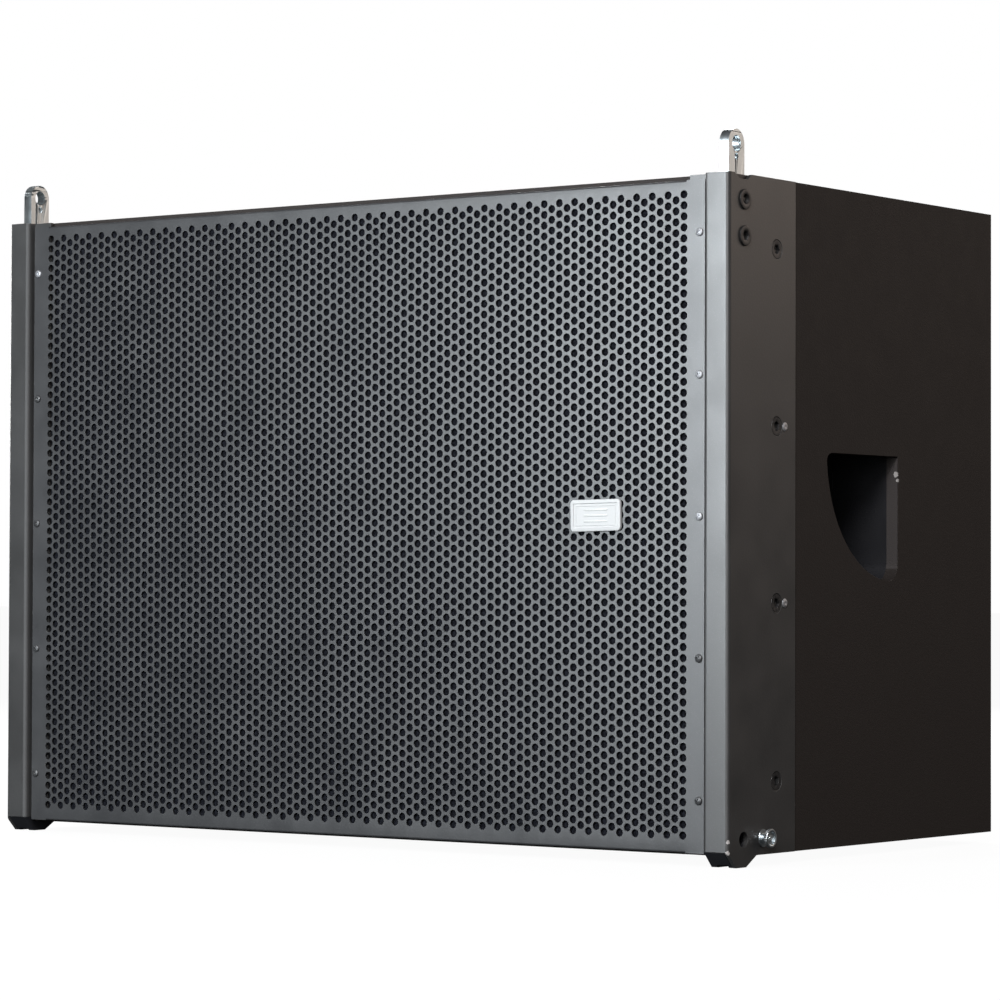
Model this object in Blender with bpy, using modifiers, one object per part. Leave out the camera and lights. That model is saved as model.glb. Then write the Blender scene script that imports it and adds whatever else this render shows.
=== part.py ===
"""Line array bass loudspeaker: plywood cabinet, steel front rails with sliding link bars,
rear link, perforated grille and a 15 inch woofer. Metres, +Z up, +X to the right of a person
who faces the grille, front towards -Y. The origin is on the floor, under the middle."""

import math

import bmesh
import bpy

# ---------------------------------------------------------------- driving dimensions
WIDTH = 0.708            # over the outer faces of the two side rails
HEIGHT = 0.492           # cabinet without feet and link bars
DEPTH = 0.386            # front of the rail flanges to the back panel
FOOT = 0.008             # how far the feet stand below the cabinet
PLY = 0.018              # birch plywood
STEEL = 0.003            # folded side rails
GAP = 0.0003             # clearance between pieces that touch
STEEL_PROUD = 0.001      # the rail stands this far out of the painted side

HALF_WIDTH = WIDTH / 2
FRONT = -DEPTH / 2
REAR = DEPTH / 2
BOTTOM = FOOT
TOP = FOOT + HEIGHT
MIDDLE = BOTTOM + HEIGHT / 2

SIDE_OUT = HALF_WIDTH - STEEL_PROUD
SIDE_IN = SIDE_OUT - PLY
RAIL_IN = HALF_WIDTH - STEEL

RAIL_DEPTH = 0.090       # side plate, front to back
FLANGE = 0.0215          # front face of the rail
CORNER_BEND = 0.0035     # outer radius of the bend between side plate and flange
EDGE_BEND = 0.0030       # outer radius of the bend at the flange's inner edge
TAB_INNER = 0.315        # inner edge of the tab that carries the grille
TAB_DEPTH = 0.008        # front of that tab behind the flange's front

GRILLE_HALF_WIDTH = 0.330
GRILLE_DEPTH = 0.005     # front of the grille sheet behind the flange's front
GRILLE_SHEET = 0.0015
GRILLE_LOW = 0.0015      # lower and upper edge above the cabinet's bottom
GRILLE_HIGH = 0.4883
GRILLE_FOLD_HALF = 0.3135
GRILLE_FOLD_INSET = 0.0001
FOAM = 0.005
FOAM_MARGIN = 0.004      # the foam ends this far inside the cabinet's bottom and the grille's top

WOOD_FRONT = 0.0125      # front edge of the top and bottom panels
BAFFLE_DEPTH = 0.053     # front face of the baffle
PORT_IN = 0.282
PORT_WALL = 0.012
PORT_LENGTH = 0.055
PORT_HEIGHT = 0.416

BAR_DEPTH = 0.0205       # centre line of the link bars, behind the front
BAR_WIDTH = 0.021
BAR_THICK = 0.008
BAR_OUT = HALF_WIDTH - 0.007
BAR_LENGTH = 0.150
BAR_ABOVE = 0.033        # how far a raised bar stands above the cabinet
BAR_HOLE = 0.0058
BAR_DIMPLE = 0.0025
RUN = 0.0004             # running clearance of a bar in its guide

GUIDE_DEPTH = 0.038      # rear face of the guide and of the foot block
GUIDE_HEIGHT = 0.160
BLOCK_HEIGHT = 0.040
RING_DROPS = {"detent_plunger": 0.0186, "guide_bolt": 0.0449}
SCREW_HEIGHTS = (0.0524, 0.182, 0.311, 0.4405)
SCREW_DEPTH = 0.0645

FOOT_START = 0.0035      # the foot's front slope starts this high on the flange
FOOT_FLAT = (0.011, 0.024)
FOOT_END = 0.038

LINK_HOLE_HEIGHT = 0.012
PARK_DEPTH = 0.0455
PARK_HEIGHT = 0.012
PIN_RADIUS = 0.0055
PIN_HOLE = 0.0058
PIN_SHANK = 0.0185
PIN_HEAD = 0.0070        # rim of the flared head
PIN_HEAD_LENGTH = 0.0080
PIN_NECK = 0.0036
PIN_FLARE = 0.0030       # the neck widens from here to the rim
PIN_RIM = 0.0022         # length of the rim
PIN_BUTTON = (0.0024, 0.0035, 0.0075)    # radius, inner end and outer end above the plate
PIN_BUTTON_BORE = (0.0027, 0.0078)       # radius and depth
RECESS = (0.0048, 0.0014)                # radius and depth of the hollow in the head's end

FASTENER_BORE = 0.0043
SCREW_HEAD = 0.0068      # countersunk, flush with the plate
SCREW_SEAT = 0.0074      # radius of the countersink at the plate's face
SCREW_SOCKET = (0.0034, 0.0020)          # radius and depth
SCREW_SHANK = 0.0022
SCREW_PILOT = (0.0026, 0.017)            # radius and length of the hole in the ply
SCREW_START = 0.0045     # middle of that hole inside the plate's inner face

HANDLE_TOP = 0.294       # above the cabinet's bottom
HANDLE_FRONT = 0.136
HANDLE_REAR = 0.240
HANDLE_RADIUS = 0.0955
HANDLE_TIP = 0.014
HANDLE_CORNER = 0.007
CUP_DEPTH = 0.044
CUP_WALL = 0.003
CUP_STEP = 0.001         # the cup is this much larger than the opening in the ply
CUP_RAISE = 0.022        # room for the fingers behind the panel
PLY_LIP = 0.0103         # thickness of painted ply left in front of the cup's collar

LINK_Y = 0.1767          # centre plane of the rear link bar
REAR_FACE = 0.185        # outer face of the rear guide and receiver
REAR_INNER = 0.168
REAR_GUIDE = (0.060, 0.322)      # width, and height of its lower end
REAR_RECEIVER = (0.068, 0.062)   # width and height
REAR_BAR = (0.030, 0.010, 0.158)
REAR_BAR_BOTTOM = 0.331
REAR_BAR_HOLES = (0.380, 0.440, 0.470)
REAR_PIN_HEIGHT = 0.030
REAR_PARK_X = 0.025
REAR_HOLE = 0.0043

PLATE_SIZE = (0.128, 0.088)
PLATE_CENTRE = 0.195     # height of the socket plate
PLATE_FACE = 0.190
PLATE_THICK = 0.0025
PLATE_BORDER = 0.010     # width of the plate's seat in the ply
SOCKET_X = 0.026
SOCKET_RADIUS = 0.012

BAFFLE_FACE = FRONT + BAFFLE_DEPTH
CUTOUT = 0.178           # radius of the woofer's hole
ROUND_STEPS = 32

BRACE_Y = (0.060, 0.150)
BRACE_WINDOW_X = (0.040, 0.290)
BRACE_WINDOW_Y = (0.080, 0.130)
WADDING_HALF = 0.260
WADDING_Y = (-0.105, 0.150)
WADDING_LOW = 0.458

BADGE_X = 0.2355
BADGE_SIZE = (0.045, 0.0238)
BADGE_CORNER = 0.003
BADGE_THICK = 0.002

# Heights in front of the baffle's front face, for pieces turned about the woofer's axis.
FRAME_RADIUS = 0.194
FRAME_FRONT = 0.008
LEDGE = 0.003            # the surround is glued here
BASKET_BACK = -0.095
SPIDER_LEDGE = -0.077
SPIDER_WAVES = (0.043, 0.103)
WINDOW_SIZE = (0.072, 0.076, 0.080)      # openings in the basket
WINDOW_RADIUS = 0.150
WINDOW_DEPTH = 0.054
COIL = (0.0390, 0.0372)                  # outer and inner radius
COIL_SPAN = (-0.056, -0.112)
DOME = (0.052, 0.090, 0.0015)            # rim radius, sphere radius, thickness
DOME_RIM = -0.0445
MAGNET_FRONT = -0.0953
MAGNET_STACK = (0.010, 0.022, 0.010)     # front plate, ring and back plate

PARTS = "line_array_bass_speaker"


# ---------------------------------------------------------------- scene and helpers
def behind(distance):
    """World Y of a point this far behind the front plane."""
    return FRONT + distance


def above(height):
    """World Z of a point this far above the cabinet's bottom."""
    return BOTTOM + height


def clear_scene():
    for obj in list(bpy.data.objects):
        bpy.data.objects.remove(obj)


def collection(name):
    found = bpy.data.collections.get(name)
    if not found:
        found = bpy.data.collections.new(name)
        bpy.context.scene.collection.children.link(found)
    return found


def move_to(obj, name):
    for old in list(obj.users_collection):
        old.objects.unlink(obj)
    collection(name).objects.link(obj)


def material(name, colour, roughness, metallic=0.0):
    found = bpy.data.materials.get(name)
    if found:
        return found
    made = bpy.data.materials.new(name)
    made.use_nodes = True
    shader = made.node_tree.nodes["Principled BSDF"]
    shader.inputs["Base Color"].default_value = (*colour, 1.0)
    shader.inputs["Roughness"].default_value = roughness
    shader.inputs["Metallic"].default_value = metallic
    return made


def black_paint():
    return material("textured_paint", (0.028, 0.025, 0.024), 0.75)


def rail_paint():
    return material("rail_powder_coat", (0.045, 0.046, 0.050), 0.42)


def steel():
    return material("stainless_steel", (0.62, 0.61, 0.59), 0.25, 1.0)


def zinc():
    return material("black_zinc", (0.10, 0.10, 0.105), 0.45, 0.9)


def plastic():
    return material("black_plastic", (0.020, 0.021, 0.024), 0.50)


def finish(obj, look):
    """Puts a finished piece in the part's collection with its material."""
    obj.data.materials.clear()
    obj.data.materials.append(look)
    move_to(obj, PARTS)
    return obj


def as_cutter(obj):
    obj.hide_render = True
    obj.display_type = "WIRE"
    move_to(obj, "cutters")
    return obj


def boolean(obj, other, operation):
    as_cutter(other)
    modifier = obj.modifiers.new(other.name, "BOOLEAN")
    modifier.operation = operation
    modifier.solver = "EXACT"
    modifier.object = other
    return obj


def cut(obj, *others):
    for other in others:
        boolean(obj, other, "DIFFERENCE")
    return obj


def join(obj, *others):
    for other in others:
        boolean(obj, other, "UNION")
    return obj


def box(name, x, y, z):
    """A box between two world coordinates on each axis, in any order."""
    spans = [sorted(pair) for pair in (x, y, z)]
    centre = [(low + high) / 2 for low, high in spans]
    bpy.ops.mesh.primitive_cube_add(size=1.0, location=centre)
    obj = bpy.context.object
    obj.name = name
    obj.scale = [high - low for low, high in spans]
    bpy.ops.object.transform_apply(location=False, rotation=False, scale=True)
    return obj


TURN = {
    "+X": (0.0, math.pi / 2, 0.0),
    "-X": (0.0, -math.pi / 2, 0.0),
    "+Y": (-math.pi / 2, 0.0, 0.0),
    "-Y": (math.pi / 2, 0.0, 0.0),
    "+Z": (0.0, 0.0, 0.0),
}


def cylinder(name, radius, length, centre, axis, sides=24):
    bpy.ops.mesh.primitive_cylinder_add(
        vertices=sides, radius=radius, depth=length, location=centre, rotation=TURN[axis])
    obj = bpy.context.object
    obj.name = name
    return obj


def turned(name, profile, base, axis, steps=ROUND_STEPS):
    """Turns (radius, height) points round an axis that starts at base."""
    area = sum(a[0] * b[1] - b[0] * a[1] for a, b in zip(profile, profile[1:] + profile[:1]))
    points = profile[::-1] if area > 0 else profile
    on_axis = any(radius == 0 for radius, _ in points)
    if on_axis:
        start = max((i for i, p in enumerate(points) if p[0] == 0), key=lambda i: points[i][1])
        points = points[start:] + points[:start]
    edges = [(i, i + 1) for i in range(len(points) - 1)]
    if not on_axis:
        edges.append((len(points) - 1, 0))
    mesh = bpy.data.meshes.new(name)
    mesh.from_pydata([(radius, 0.0, height) for radius, height in points], edges, [])
    obj = bpy.data.objects.new(name, mesh)
    collection(PARTS).objects.link(obj)
    obj.location = base
    obj.rotation_euler = TURN[axis]
    screw = obj.modifiers.new("turn", "SCREW")
    screw.steps = steps
    screw.render_steps = steps
    screw.use_merge_vertices = True
    screw.merge_threshold = 0.00001
    screw.use_smooth_shade = True
    return obj


PLANES = {
    "XY": (0.0, 0.0, 0.0),
    "XZ": (math.pi / 2, 0.0, 0.0),
    "YZ": (math.pi / 2, 0.0, math.pi / 2),
}


def as_mesh(curve_object):
    """The curve's solid as a welded mesh object in the same place."""
    bpy.context.view_layer.update()
    graph = bpy.context.evaluated_depsgraph_get()
    mesh = bpy.data.meshes.new_from_object(curve_object.evaluated_get(graph))
    welded = bmesh.new()
    welded.from_mesh(mesh)
    bmesh.ops.remove_doubles(welded, verts=welded.verts, dist=0.000001)
    welded.to_mesh(mesh)
    welded.free()
    name = curve_object.name
    place = curve_object.matrix_world.copy()
    bpy.data.objects.remove(curve_object)
    obj = bpy.data.objects.new(name, mesh)
    obj.matrix_world = place
    collection(PARTS).objects.link(obj)
    return obj


def prism(name, outline, plane, start, end):
    """A flat outline in a world plane, extruded along the third axis from start to end."""
    curve = bpy.data.curves.new(name, "CURVE")
    curve.dimensions = "2D"
    curve.fill_mode = "BOTH"
    curve.extrude = abs(end - start) / 2
    spline = curve.splines.new("POLY")
    spline.points.add(len(outline) - 1)
    for point, (u, v) in zip(spline.points, outline):
        point.co = (u, v, 0.0, 1.0)
    spline.use_cyclic_u = True
    obj = bpy.data.objects.new(name, curve)
    collection(PARTS).objects.link(obj)
    obj.rotation_euler = PLANES[plane]
    obj.location["YZ XZ XY".split().index(plane)] = (start + end) / 2
    return as_mesh(obj)


def arc(centre, radius, start, end, count):
    """Points on an arc, angles in degrees."""
    points = []
    for step in range(count + 1):
        angle = math.radians(start + (end - start) * step / count)
        points.append((centre[0] + radius * math.cos(angle), centre[1] + radius * math.sin(angle)))
    return points


def side_name(piece, side):
    return f"{piece}_{'right' if side > 0 else 'left'}"


def outward(side):
    return "+X" if side > 0 else "-X"


# ---------------------------------------------------------------- cabinet
def handle_outline(grow=0.0, raised=0.0):
    """Quarter-round hand opening: flat top, upright rear edge, curved front. World Y and Z."""
    centre = (behind(HANDLE_FRONT + HANDLE_RADIUS), above(HANDLE_TOP))
    rear = behind(HANDLE_REAR) + grow
    top = above(HANDLE_TOP) + grow + raised
    radius = HANDLE_RADIUS + grow
    tip_radius = HANDLE_TIP + grow
    tip_y = behind(HANDLE_REAR) - HANDLE_TIP
    reach = HANDLE_RADIUS - HANDLE_TIP
    tip_z = centre[1] - math.sqrt(reach ** 2 - (centre[0] - tip_y) ** 2)
    tip_angle = math.degrees(math.atan2(tip_z - centre[1], tip_y - centre[0])) + 360
    corner = (centre[0] - radius + HANDLE_CORNER, top - HANDLE_CORNER)
    front_start = 180 + math.degrees(math.asin(HANDLE_CORNER / radius))
    outline = [(rear, top)]
    outline += arc(corner, HANDLE_CORNER, 90, 180, 4)
    outline += arc(centre, radius, front_start, tip_angle, 14)
    outline += arc((tip_y, tip_z), tip_radius, tip_angle, 360, 6)[1:]
    return outline


def side_panel(side):
    name = side_name("side_panel", side)
    front = behind(TAB_DEPTH + STEEL) + GAP
    notch = behind(GUIDE_DEPTH) + GAP
    low_notch = above(BLOCK_HEIGHT) + GAP
    high_notch = TOP - GUIDE_HEIGHT - GAP
    outline = [
        (REAR, BOTTOM), (REAR, TOP), (notch, TOP), (notch, high_notch),
        (front, high_notch), (front, low_notch), (notch, low_notch), (notch, BOTTOM),
    ]
    panel = prism(name, outline, "YZ", side * SIDE_IN, side * SIDE_OUT)
    rebate = box(name + "_rebate", (side * (RAIL_IN - GAP), side * 0.4),
                 (FRONT - 0.01, behind(RAIL_DEPTH) + GAP), (-0.01, TOP + 0.01))
    hand = prism(name + "_hand", handle_outline(), "YZ", side * 0.32, side * 0.37)
    seat = prism(name + "_seat", handle_outline(CUP_STEP + CUP_WALL + GAP), "YZ",
                 side * 0.32, side * (SIDE_OUT - PLY_LIP))
    parked = cylinder(name + "_park", PIN_HOLE, 0.05,
                      (side * SIDE_OUT, behind(PARK_DEPTH), above(PARK_HEIGHT)), "+X")
    cut(panel, rebate, hand, seat, parked)
    for height in SCREW_HEIGHTS:
        spot = (side * (RAIL_IN - SCREW_START), behind(SCREW_DEPTH), above(height))
        cut(panel, cylinder(name + "_screw", *SCREW_PILOT, spot, "+X", 12))
    return finish(panel, black_paint())


def handle_cup(side):
    """Moulded cup behind the opening, with a collar that reaches into the ply."""
    name = side_name("handle_cup", side)
    mouth = SIDE_IN - GAP
    collar_end = SIDE_OUT - PLY_LIP - GAP
    cup = prism(name, handle_outline(CUP_STEP + CUP_WALL, CUP_RAISE), "YZ",
                side * (mouth - CUP_DEPTH), side * mouth)
    collar = prism(name + "_collar", handle_outline(CUP_STEP + CUP_WALL), "YZ",
                   side * (mouth - CUP_WALL), side * collar_end)
    hollow = prism(name + "_hollow", handle_outline(CUP_STEP, CUP_RAISE), "YZ",
                   side * (mouth - CUP_DEPTH + CUP_WALL), side * mouth)
    passage = prism(name + "_passage", handle_outline(CUP_STEP), "YZ",
                    side * (mouth - 2 * CUP_WALL), side * SIDE_OUT)
    return finish(cut(join(cup, collar), hollow, passage), plastic())


def long_panel(name, low, notch_width):
    """Top or bottom panel between the sides, with a notch for the rear link hardware."""
    half = SIDE_IN - GAP
    panel = box(name, (-half, half), (behind(WOOD_FRONT), REAR), (low, low + PLY))
    notch_half = notch_width / 2 + GAP
    notch = box(name + "_notch", (-notch_half, notch_half), (REAR_INNER - GAP, REAR + 0.01),
                (low - 0.01, low + PLY + 0.01))
    return finish(cut(panel, notch), black_paint())


def back_panel():
    half = SIDE_IN - GAP
    low = BOTTOM + PLY + GAP
    high = TOP - PLY - GAP
    panel = box("back_panel", (-half, half), (REAR - PLY, REAR), (low, high))
    guide_half = REAR_GUIDE[0] / 2 + GAP
    receiver_half = REAR_RECEIVER[0] / 2 + GAP
    through = (REAR - PLY - 0.01, REAR + 0.01)
    upper = box("back_upper_notch", (-guide_half, guide_half), through,
                (above(REAR_GUIDE[1]) - GAP, TOP))
    lower = box("back_lower_notch", (-receiver_half, receiver_half), through,
                (BOTTOM, above(REAR_RECEIVER[1]) + GAP))
    half_width = PLATE_SIZE[0] / 2
    half_height = PLATE_SIZE[1] / 2
    middle = above(PLATE_CENTRE)
    rebate = box("plate_rebate", (-half_width - GAP, half_width + GAP),
                 (PLATE_FACE - PLATE_THICK - GAP, REAR + 0.01),
                 (middle - half_height - GAP, middle + half_height + GAP))
    window = box("plate_window", (-half_width + PLATE_BORDER, half_width - PLATE_BORDER), through,
                 (middle - half_height + PLATE_BORDER, middle + half_height - PLATE_BORDER))
    return finish(cut(panel, upper, lower, rebate, window), black_paint())


def front_baffle():
    half = SIDE_IN - GAP
    panel = box("front_baffle", (-half, half), (BAFFLE_FACE, BAFFLE_FACE + PLY),
                (BOTTOM + PLY + GAP, TOP - PLY - GAP))
    cut(panel, cylinder("woofer_hole", CUTOUT, 0.1, (0, BAFFLE_FACE, MIDDLE), "+Y", 48))
    for side in (1, -1):
        slot = box(side_name("port_slot", side), (side * PORT_IN, side * TAB_INNER),
                   (BAFFLE_FACE - 0.01, BAFFLE_FACE + 0.03),
                   (MIDDLE - PORT_HEIGHT / 2, MIDDLE + PORT_HEIGHT / 2))
        cut(panel, slot)
    return finish(panel, black_paint())


def port_wall(side):
    start = BAFFLE_FACE + PLY + GAP
    board = box(side_name("port_wall", side), (side * (PORT_IN - PORT_WALL), side * PORT_IN),
                (start, start + PORT_LENGTH), (BOTTOM + PLY + GAP, TOP - PLY - GAP))
    return finish(board, material("birch_ply", (0.52, 0.38, 0.22), 0.6))


def cross_brace():
    half = SIDE_IN - GAP
    thick = (MIDDLE - PLY / 2, MIDDLE + PLY / 2)
    brace = box("cross_brace", (-half, half), BRACE_Y, thick)
    for side in (1, -1):
        window = box(side_name("brace_window", side), [side * x for x in BRACE_WINDOW_X],
                     BRACE_WINDOW_Y, (thick[0] - 0.01, thick[1] + 0.01))
        cut(brace, window)
    return finish(brace, material("birch_ply", (0.52, 0.38, 0.22), 0.6))


def damping_wadding():
    pad = box("damping_wadding", (-WADDING_HALF, WADDING_HALF), WADDING_Y,
              (WADDING_LOW, TOP - PLY - 2 * GAP))
    return finish(pad, material("polyester_wadding", (0.70, 0.70, 0.68), 0.95))


# ---------------------------------------------------------------- front rigging
def rail_outline(side):
    """Section of the folded rail: side plate, front flange, step and grille tab."""
    flange_in = HALF_WIDTH - FLANGE
    corner = arc((HALF_WIDTH - CORNER_BEND, behind(CORNER_BEND)), CORNER_BEND, 0, -90, 6)
    edge = arc((flange_in + EDGE_BEND, behind(EDGE_BEND)), EDGE_BEND, -90, -180, 6)
    section = [(HALF_WIDTH, behind(RAIL_DEPTH))] + corner + edge + [
        (flange_in, behind(TAB_DEPTH)),
        (TAB_INNER, behind(TAB_DEPTH)),
        (TAB_INNER, behind(TAB_DEPTH + STEEL)),
        (flange_in + STEEL, behind(TAB_DEPTH + STEEL)),
        (flange_in + STEEL, behind(STEEL)),
        (RAIL_IN, behind(STEEL)),
        (RAIL_IN, behind(RAIL_DEPTH)),
    ]
    return [(side * x, y) for x, y in section]


def rail(side):
    name = side_name("rail", side)
    body = prism(name, rail_outline(side), "XY", 0.0, TOP)
    across = (side * 0.30, side * 0.37)
    front_trim = prism(name + "_front_trim", [
        (FRONT - 0.01, -0.01), (FRONT - 0.01, above(FOOT_START)), (FRONT, above(FOOT_START)),
        (behind(FOOT_FLAT[0]), 0.0), (behind(FOOT_FLAT[0]), -0.01)], "YZ", *across)
    rear_trim = prism(name + "_rear_trim", [
        (behind(FOOT_FLAT[1]), -0.01), (behind(FOOT_FLAT[1]), 0.0), (behind(FOOT_END), BOTTOM),
        (behind(RAIL_DEPTH) + 0.01, BOTTOM), (behind(RAIL_DEPTH) + 0.01, -0.01)], "YZ", *across)
    flange_trim = box(name + "_flange_trim", (side * 0.30, side * RAIL_IN),
                      (FRONT - 0.01, behind(0.02)), (-0.01, above(FOOT_START)))
    notch = prism(name + "_notch", [
        (behind(0.006), TOP + 0.001), (behind(0.014), TOP - 0.004),
        (behind(0.025), TOP - 0.004), (behind(0.032), TOP + 0.001)], "YZ",
        side * (RAIL_IN - 0.001), side * 0.37)
    cut(body, front_trim, rear_trim, flange_trim, notch)
    holes = [(FASTENER_BORE, BAR_DEPTH, HEIGHT - drop) for drop in RING_DROPS.values()]
    holes += [(PIN_HOLE, BAR_DEPTH, LINK_HOLE_HEIGHT), (PIN_HOLE, PARK_DEPTH, PARK_HEIGHT)]
    for radius, depth, height in holes:
        spot = (side * HALF_WIDTH, behind(depth), above(height))
        cut(body, cylinder(name + "_hole", radius, 0.02, spot, "+X", 16))
    for height in SCREW_HEIGHTS:
        spot = (side * HALF_WIDTH, behind(SCREW_DEPTH), above(height))
        seat = [(0.0, 0.001), (SCREW_SEAT + 0.001, 0.001), (SCREW_SEAT - 0.004, -0.004), (0.0, -0.004)]
        cut(body, turned(name + "_seat", seat, spot, outward(side), 20))
    return finish(body, rail_paint())


def bar_slot(name, side, low, high):
    """Cutter for the channel that a link bar runs in."""
    middle = BAR_OUT - BAR_THICK / 2
    half_thick = BAR_THICK / 2 + RUN
    half_width = BAR_WIDTH / 2 + RUN
    return box(name, (side * (middle - half_thick), side * (middle + half_thick)),
               (behind(BAR_DEPTH - half_width), behind(BAR_DEPTH + half_width)), (low, high))


def link_guide(side):
    name = side_name("link_guide", side)
    low = TOP - GUIDE_HEIGHT
    block = box(name, (side * (HALF_WIDTH - FLANGE + STEEL + GAP), side * (RAIL_IN - GAP)),
                (behind(STEEL) + GAP, behind(GUIDE_DEPTH)), (low, TOP - GAP))
    cut(block, bar_slot(name + "_slot", side, low - 0.01, TOP + 0.01))
    for drop in RING_DROPS.values():
        spot = (side * (RAIL_IN - 0.001), behind(BAR_DEPTH), TOP - drop)
        cut(block, cylinder(name + "_hole", FASTENER_BORE, 0.008, spot, "+X", 16))
    return finish(block, zinc())


def link_bar(side):
    name = side_name("link_bar", side)
    top = TOP + BAR_ABOVE
    radius = BAR_WIDTH / 2
    eye = (behind(BAR_DEPTH), top - radius)
    outline = arc(eye, radius, 0, 180, 24)
    outline += [(behind(BAR_DEPTH) - radius, top - BAR_LENGTH),
                (behind(BAR_DEPTH) + radius, top - BAR_LENGTH)]
    bar = prism(name, outline, "YZ", side * (BAR_OUT - BAR_THICK), side * BAR_OUT)
    middle = side * (BAR_OUT - BAR_THICK / 2)
    cut(bar, cylinder(name + "_eye", BAR_HOLE, 0.02, (middle, *eye), "+X", 32))
    dimples = (top - 0.020, TOP - RING_DROPS["detent_plunger"])
    for height in dimples:
        spot = (side * BAR_OUT, behind(BAR_DEPTH), height)
        cut(bar, cylinder(name + "_dimple", BAR_DIMPLE, 0.004, spot, "+X", 12))
    return finish(bar, steel())


def foot_block(side):
    """Foot with the slot that takes the link bar of the cabinet below."""
    name = side_name("foot_block", side)
    inner = HALF_WIDTH - FLANGE
    outer = side * (RAIL_IN - GAP)
    lip = above(FOOT_START) - GAP
    sole = [(FRONT + 0.0005, lip), (behind(FOOT_FLAT[0]), 0.0), (behind(FOOT_FLAT[1]), 0.0)]
    body = sole + [
        (behind(FOOT_END), BOTTOM), (behind(FOOT_END), above(BLOCK_HEIGHT)),
        (behind(STEEL) + GAP, above(BLOCK_HEIGHT)), (behind(STEEL) + GAP, lip)]
    foot = prism(name, body, "YZ", side * inner, outer)
    ledge = behind(WOOD_FRONT) - GAP
    beside_panel = [
        (FRONT - 0.01, lip), (ledge, lip), (ledge, BOTTOM - GAP), (behind(0.05), BOTTOM - GAP),
        (behind(0.05), above(0.05)), (FRONT - 0.01, above(0.05))]
    cut(foot, prism(name + "_relief", beside_panel, "YZ", side * (inner - 0.001),
                    side * (inner + STEEL + GAP)))
    cut(foot, bar_slot(name + "_slot", side, -0.01, above(0.030)))
    spot = (side * (HALF_WIDTH - 0.012), behind(BAR_DEPTH), above(LINK_HOLE_HEIGHT))
    cut(foot, cylinder(name + "_hole", PIN_HOLE, 0.04, spot, "+X", 16))
    return finish(foot, plastic())


def ring_fastener(piece, side, drop):
    profile = [(0.0, -0.0015), (0.0033, -0.0015), (0.0033, 0.0015), (0.0070, 0.0015),
               (0.0075, 0.0010), (0.0075, GAP), (0.0040, GAP), (0.0040, -0.0062), (0.0, -0.0062)]
    base = (side * HALF_WIDTH, behind(BAR_DEPTH), TOP - drop)
    return finish(turned(side_name(piece, side), profile, base, outward(side), 16), zinc())


def rail_screw(side, number, height):
    """Countersunk socket screw: heights are outward from the plate's face."""
    face = -0.0002
    under = -0.0028
    socket, depth = SCREW_SOCKET
    profile = [(0.0, face - depth), (socket, face - depth), (socket, face), (SCREW_HEAD, face),
               (SCREW_HEAD + under - face, under), (SCREW_SHANK, under), (SCREW_SHANK, -0.0110),
               (0.0, -0.0130)]
    name = f"{side_name('rail_screw', side)}_{number}"
    base = (side * HALF_WIDTH, behind(SCREW_DEPTH), above(height))
    return finish(turned(name, profile, base, outward(side), 20), zinc())


def pin_profile(radius, shank, head, head_length, bore, bore_depth):
    """Ball-lock pin: shank below zero, knurled head above it, with a bore for the button."""
    top = GAP + head_length
    return [
        (0.0, top - bore_depth), (bore, top - bore_depth), (bore, top),
        (head - 0.001, top), (head, top - 0.001), (head, GAP + 0.001), (head - 0.001, GAP),
        (radius, GAP), (radius, -shank + 0.001), (radius - 0.001, -shank), (0.0, -shank)]


def button_profile(radius, low, high):
    return [(0.0, high), (radius - 0.0005, high), (radius, high - 0.0005), (radius, low),
            (0.0, low)]


def flared_pin_profile():
    """Shank below zero; above it a collar, a neck and a head that flares to a hollow rim."""
    end = GAP + PIN_HEAD_LENGTH
    bore, bore_depth = PIN_BUTTON_BORE
    recess, recess_depth = RECESS
    collar = PIN_RADIUS + 0.0010
    return [
        (0.0, end - bore_depth), (bore, end - bore_depth), (bore, end - recess_depth),
        (recess, end - recess_depth), (recess + 0.0004, end), (PIN_HEAD - 0.0005, end),
        (PIN_HEAD, end - 0.0005), (PIN_HEAD, end - PIN_RIM), (PIN_NECK, PIN_FLARE),
        (PIN_NECK, GAP + 0.0012), (collar, GAP + 0.0012), (collar, GAP), (PIN_RADIUS, GAP),
        (PIN_RADIUS, -PIN_SHANK + 0.001), (PIN_RADIUS - 0.001, -PIN_SHANK), (0.0, -PIN_SHANK)]


def lock_pin(side):
    base = (side * HALF_WIDTH, behind(PARK_DEPTH), above(PARK_HEIGHT))
    pin = turned(side_name("lock_pin", side), flared_pin_profile(), base, outward(side), 24)
    radius, low, high = PIN_BUTTON
    button = turned(side_name("pin_button", side), button_profile(radius, low, high), base,
                    outward(side), 16)
    finish(pin, steel())
    finish(button, steel())


# ---------------------------------------------------------------- rear rigging and feet
def rear_link_guide():
    half = REAR_GUIDE[0] / 2
    block = box("rear_link_guide", (-half, half), (REAR_INNER, REAR_FACE),
                (above(REAR_GUIDE[1]), TOP - GAP))
    slot_half = REAR_BAR[0] / 2 + RUN
    slot_thick = REAR_BAR[1] / 2 + RUN
    slot = box("rear_guide_slot", (-slot_half, slot_half), (LINK_Y - slot_thick, LINK_Y + slot_thick),
               (above(REAR_BAR_BOTTOM) - GAP, TOP + 0.01))
    hole = cylinder("rear_guide_hole", REAR_HOLE, 0.02,
                    (0, REAR_FACE, above(REAR_BAR_HOLES[1])), "+Y", 16)
    return finish(cut(block, slot, hole), zinc())


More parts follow.
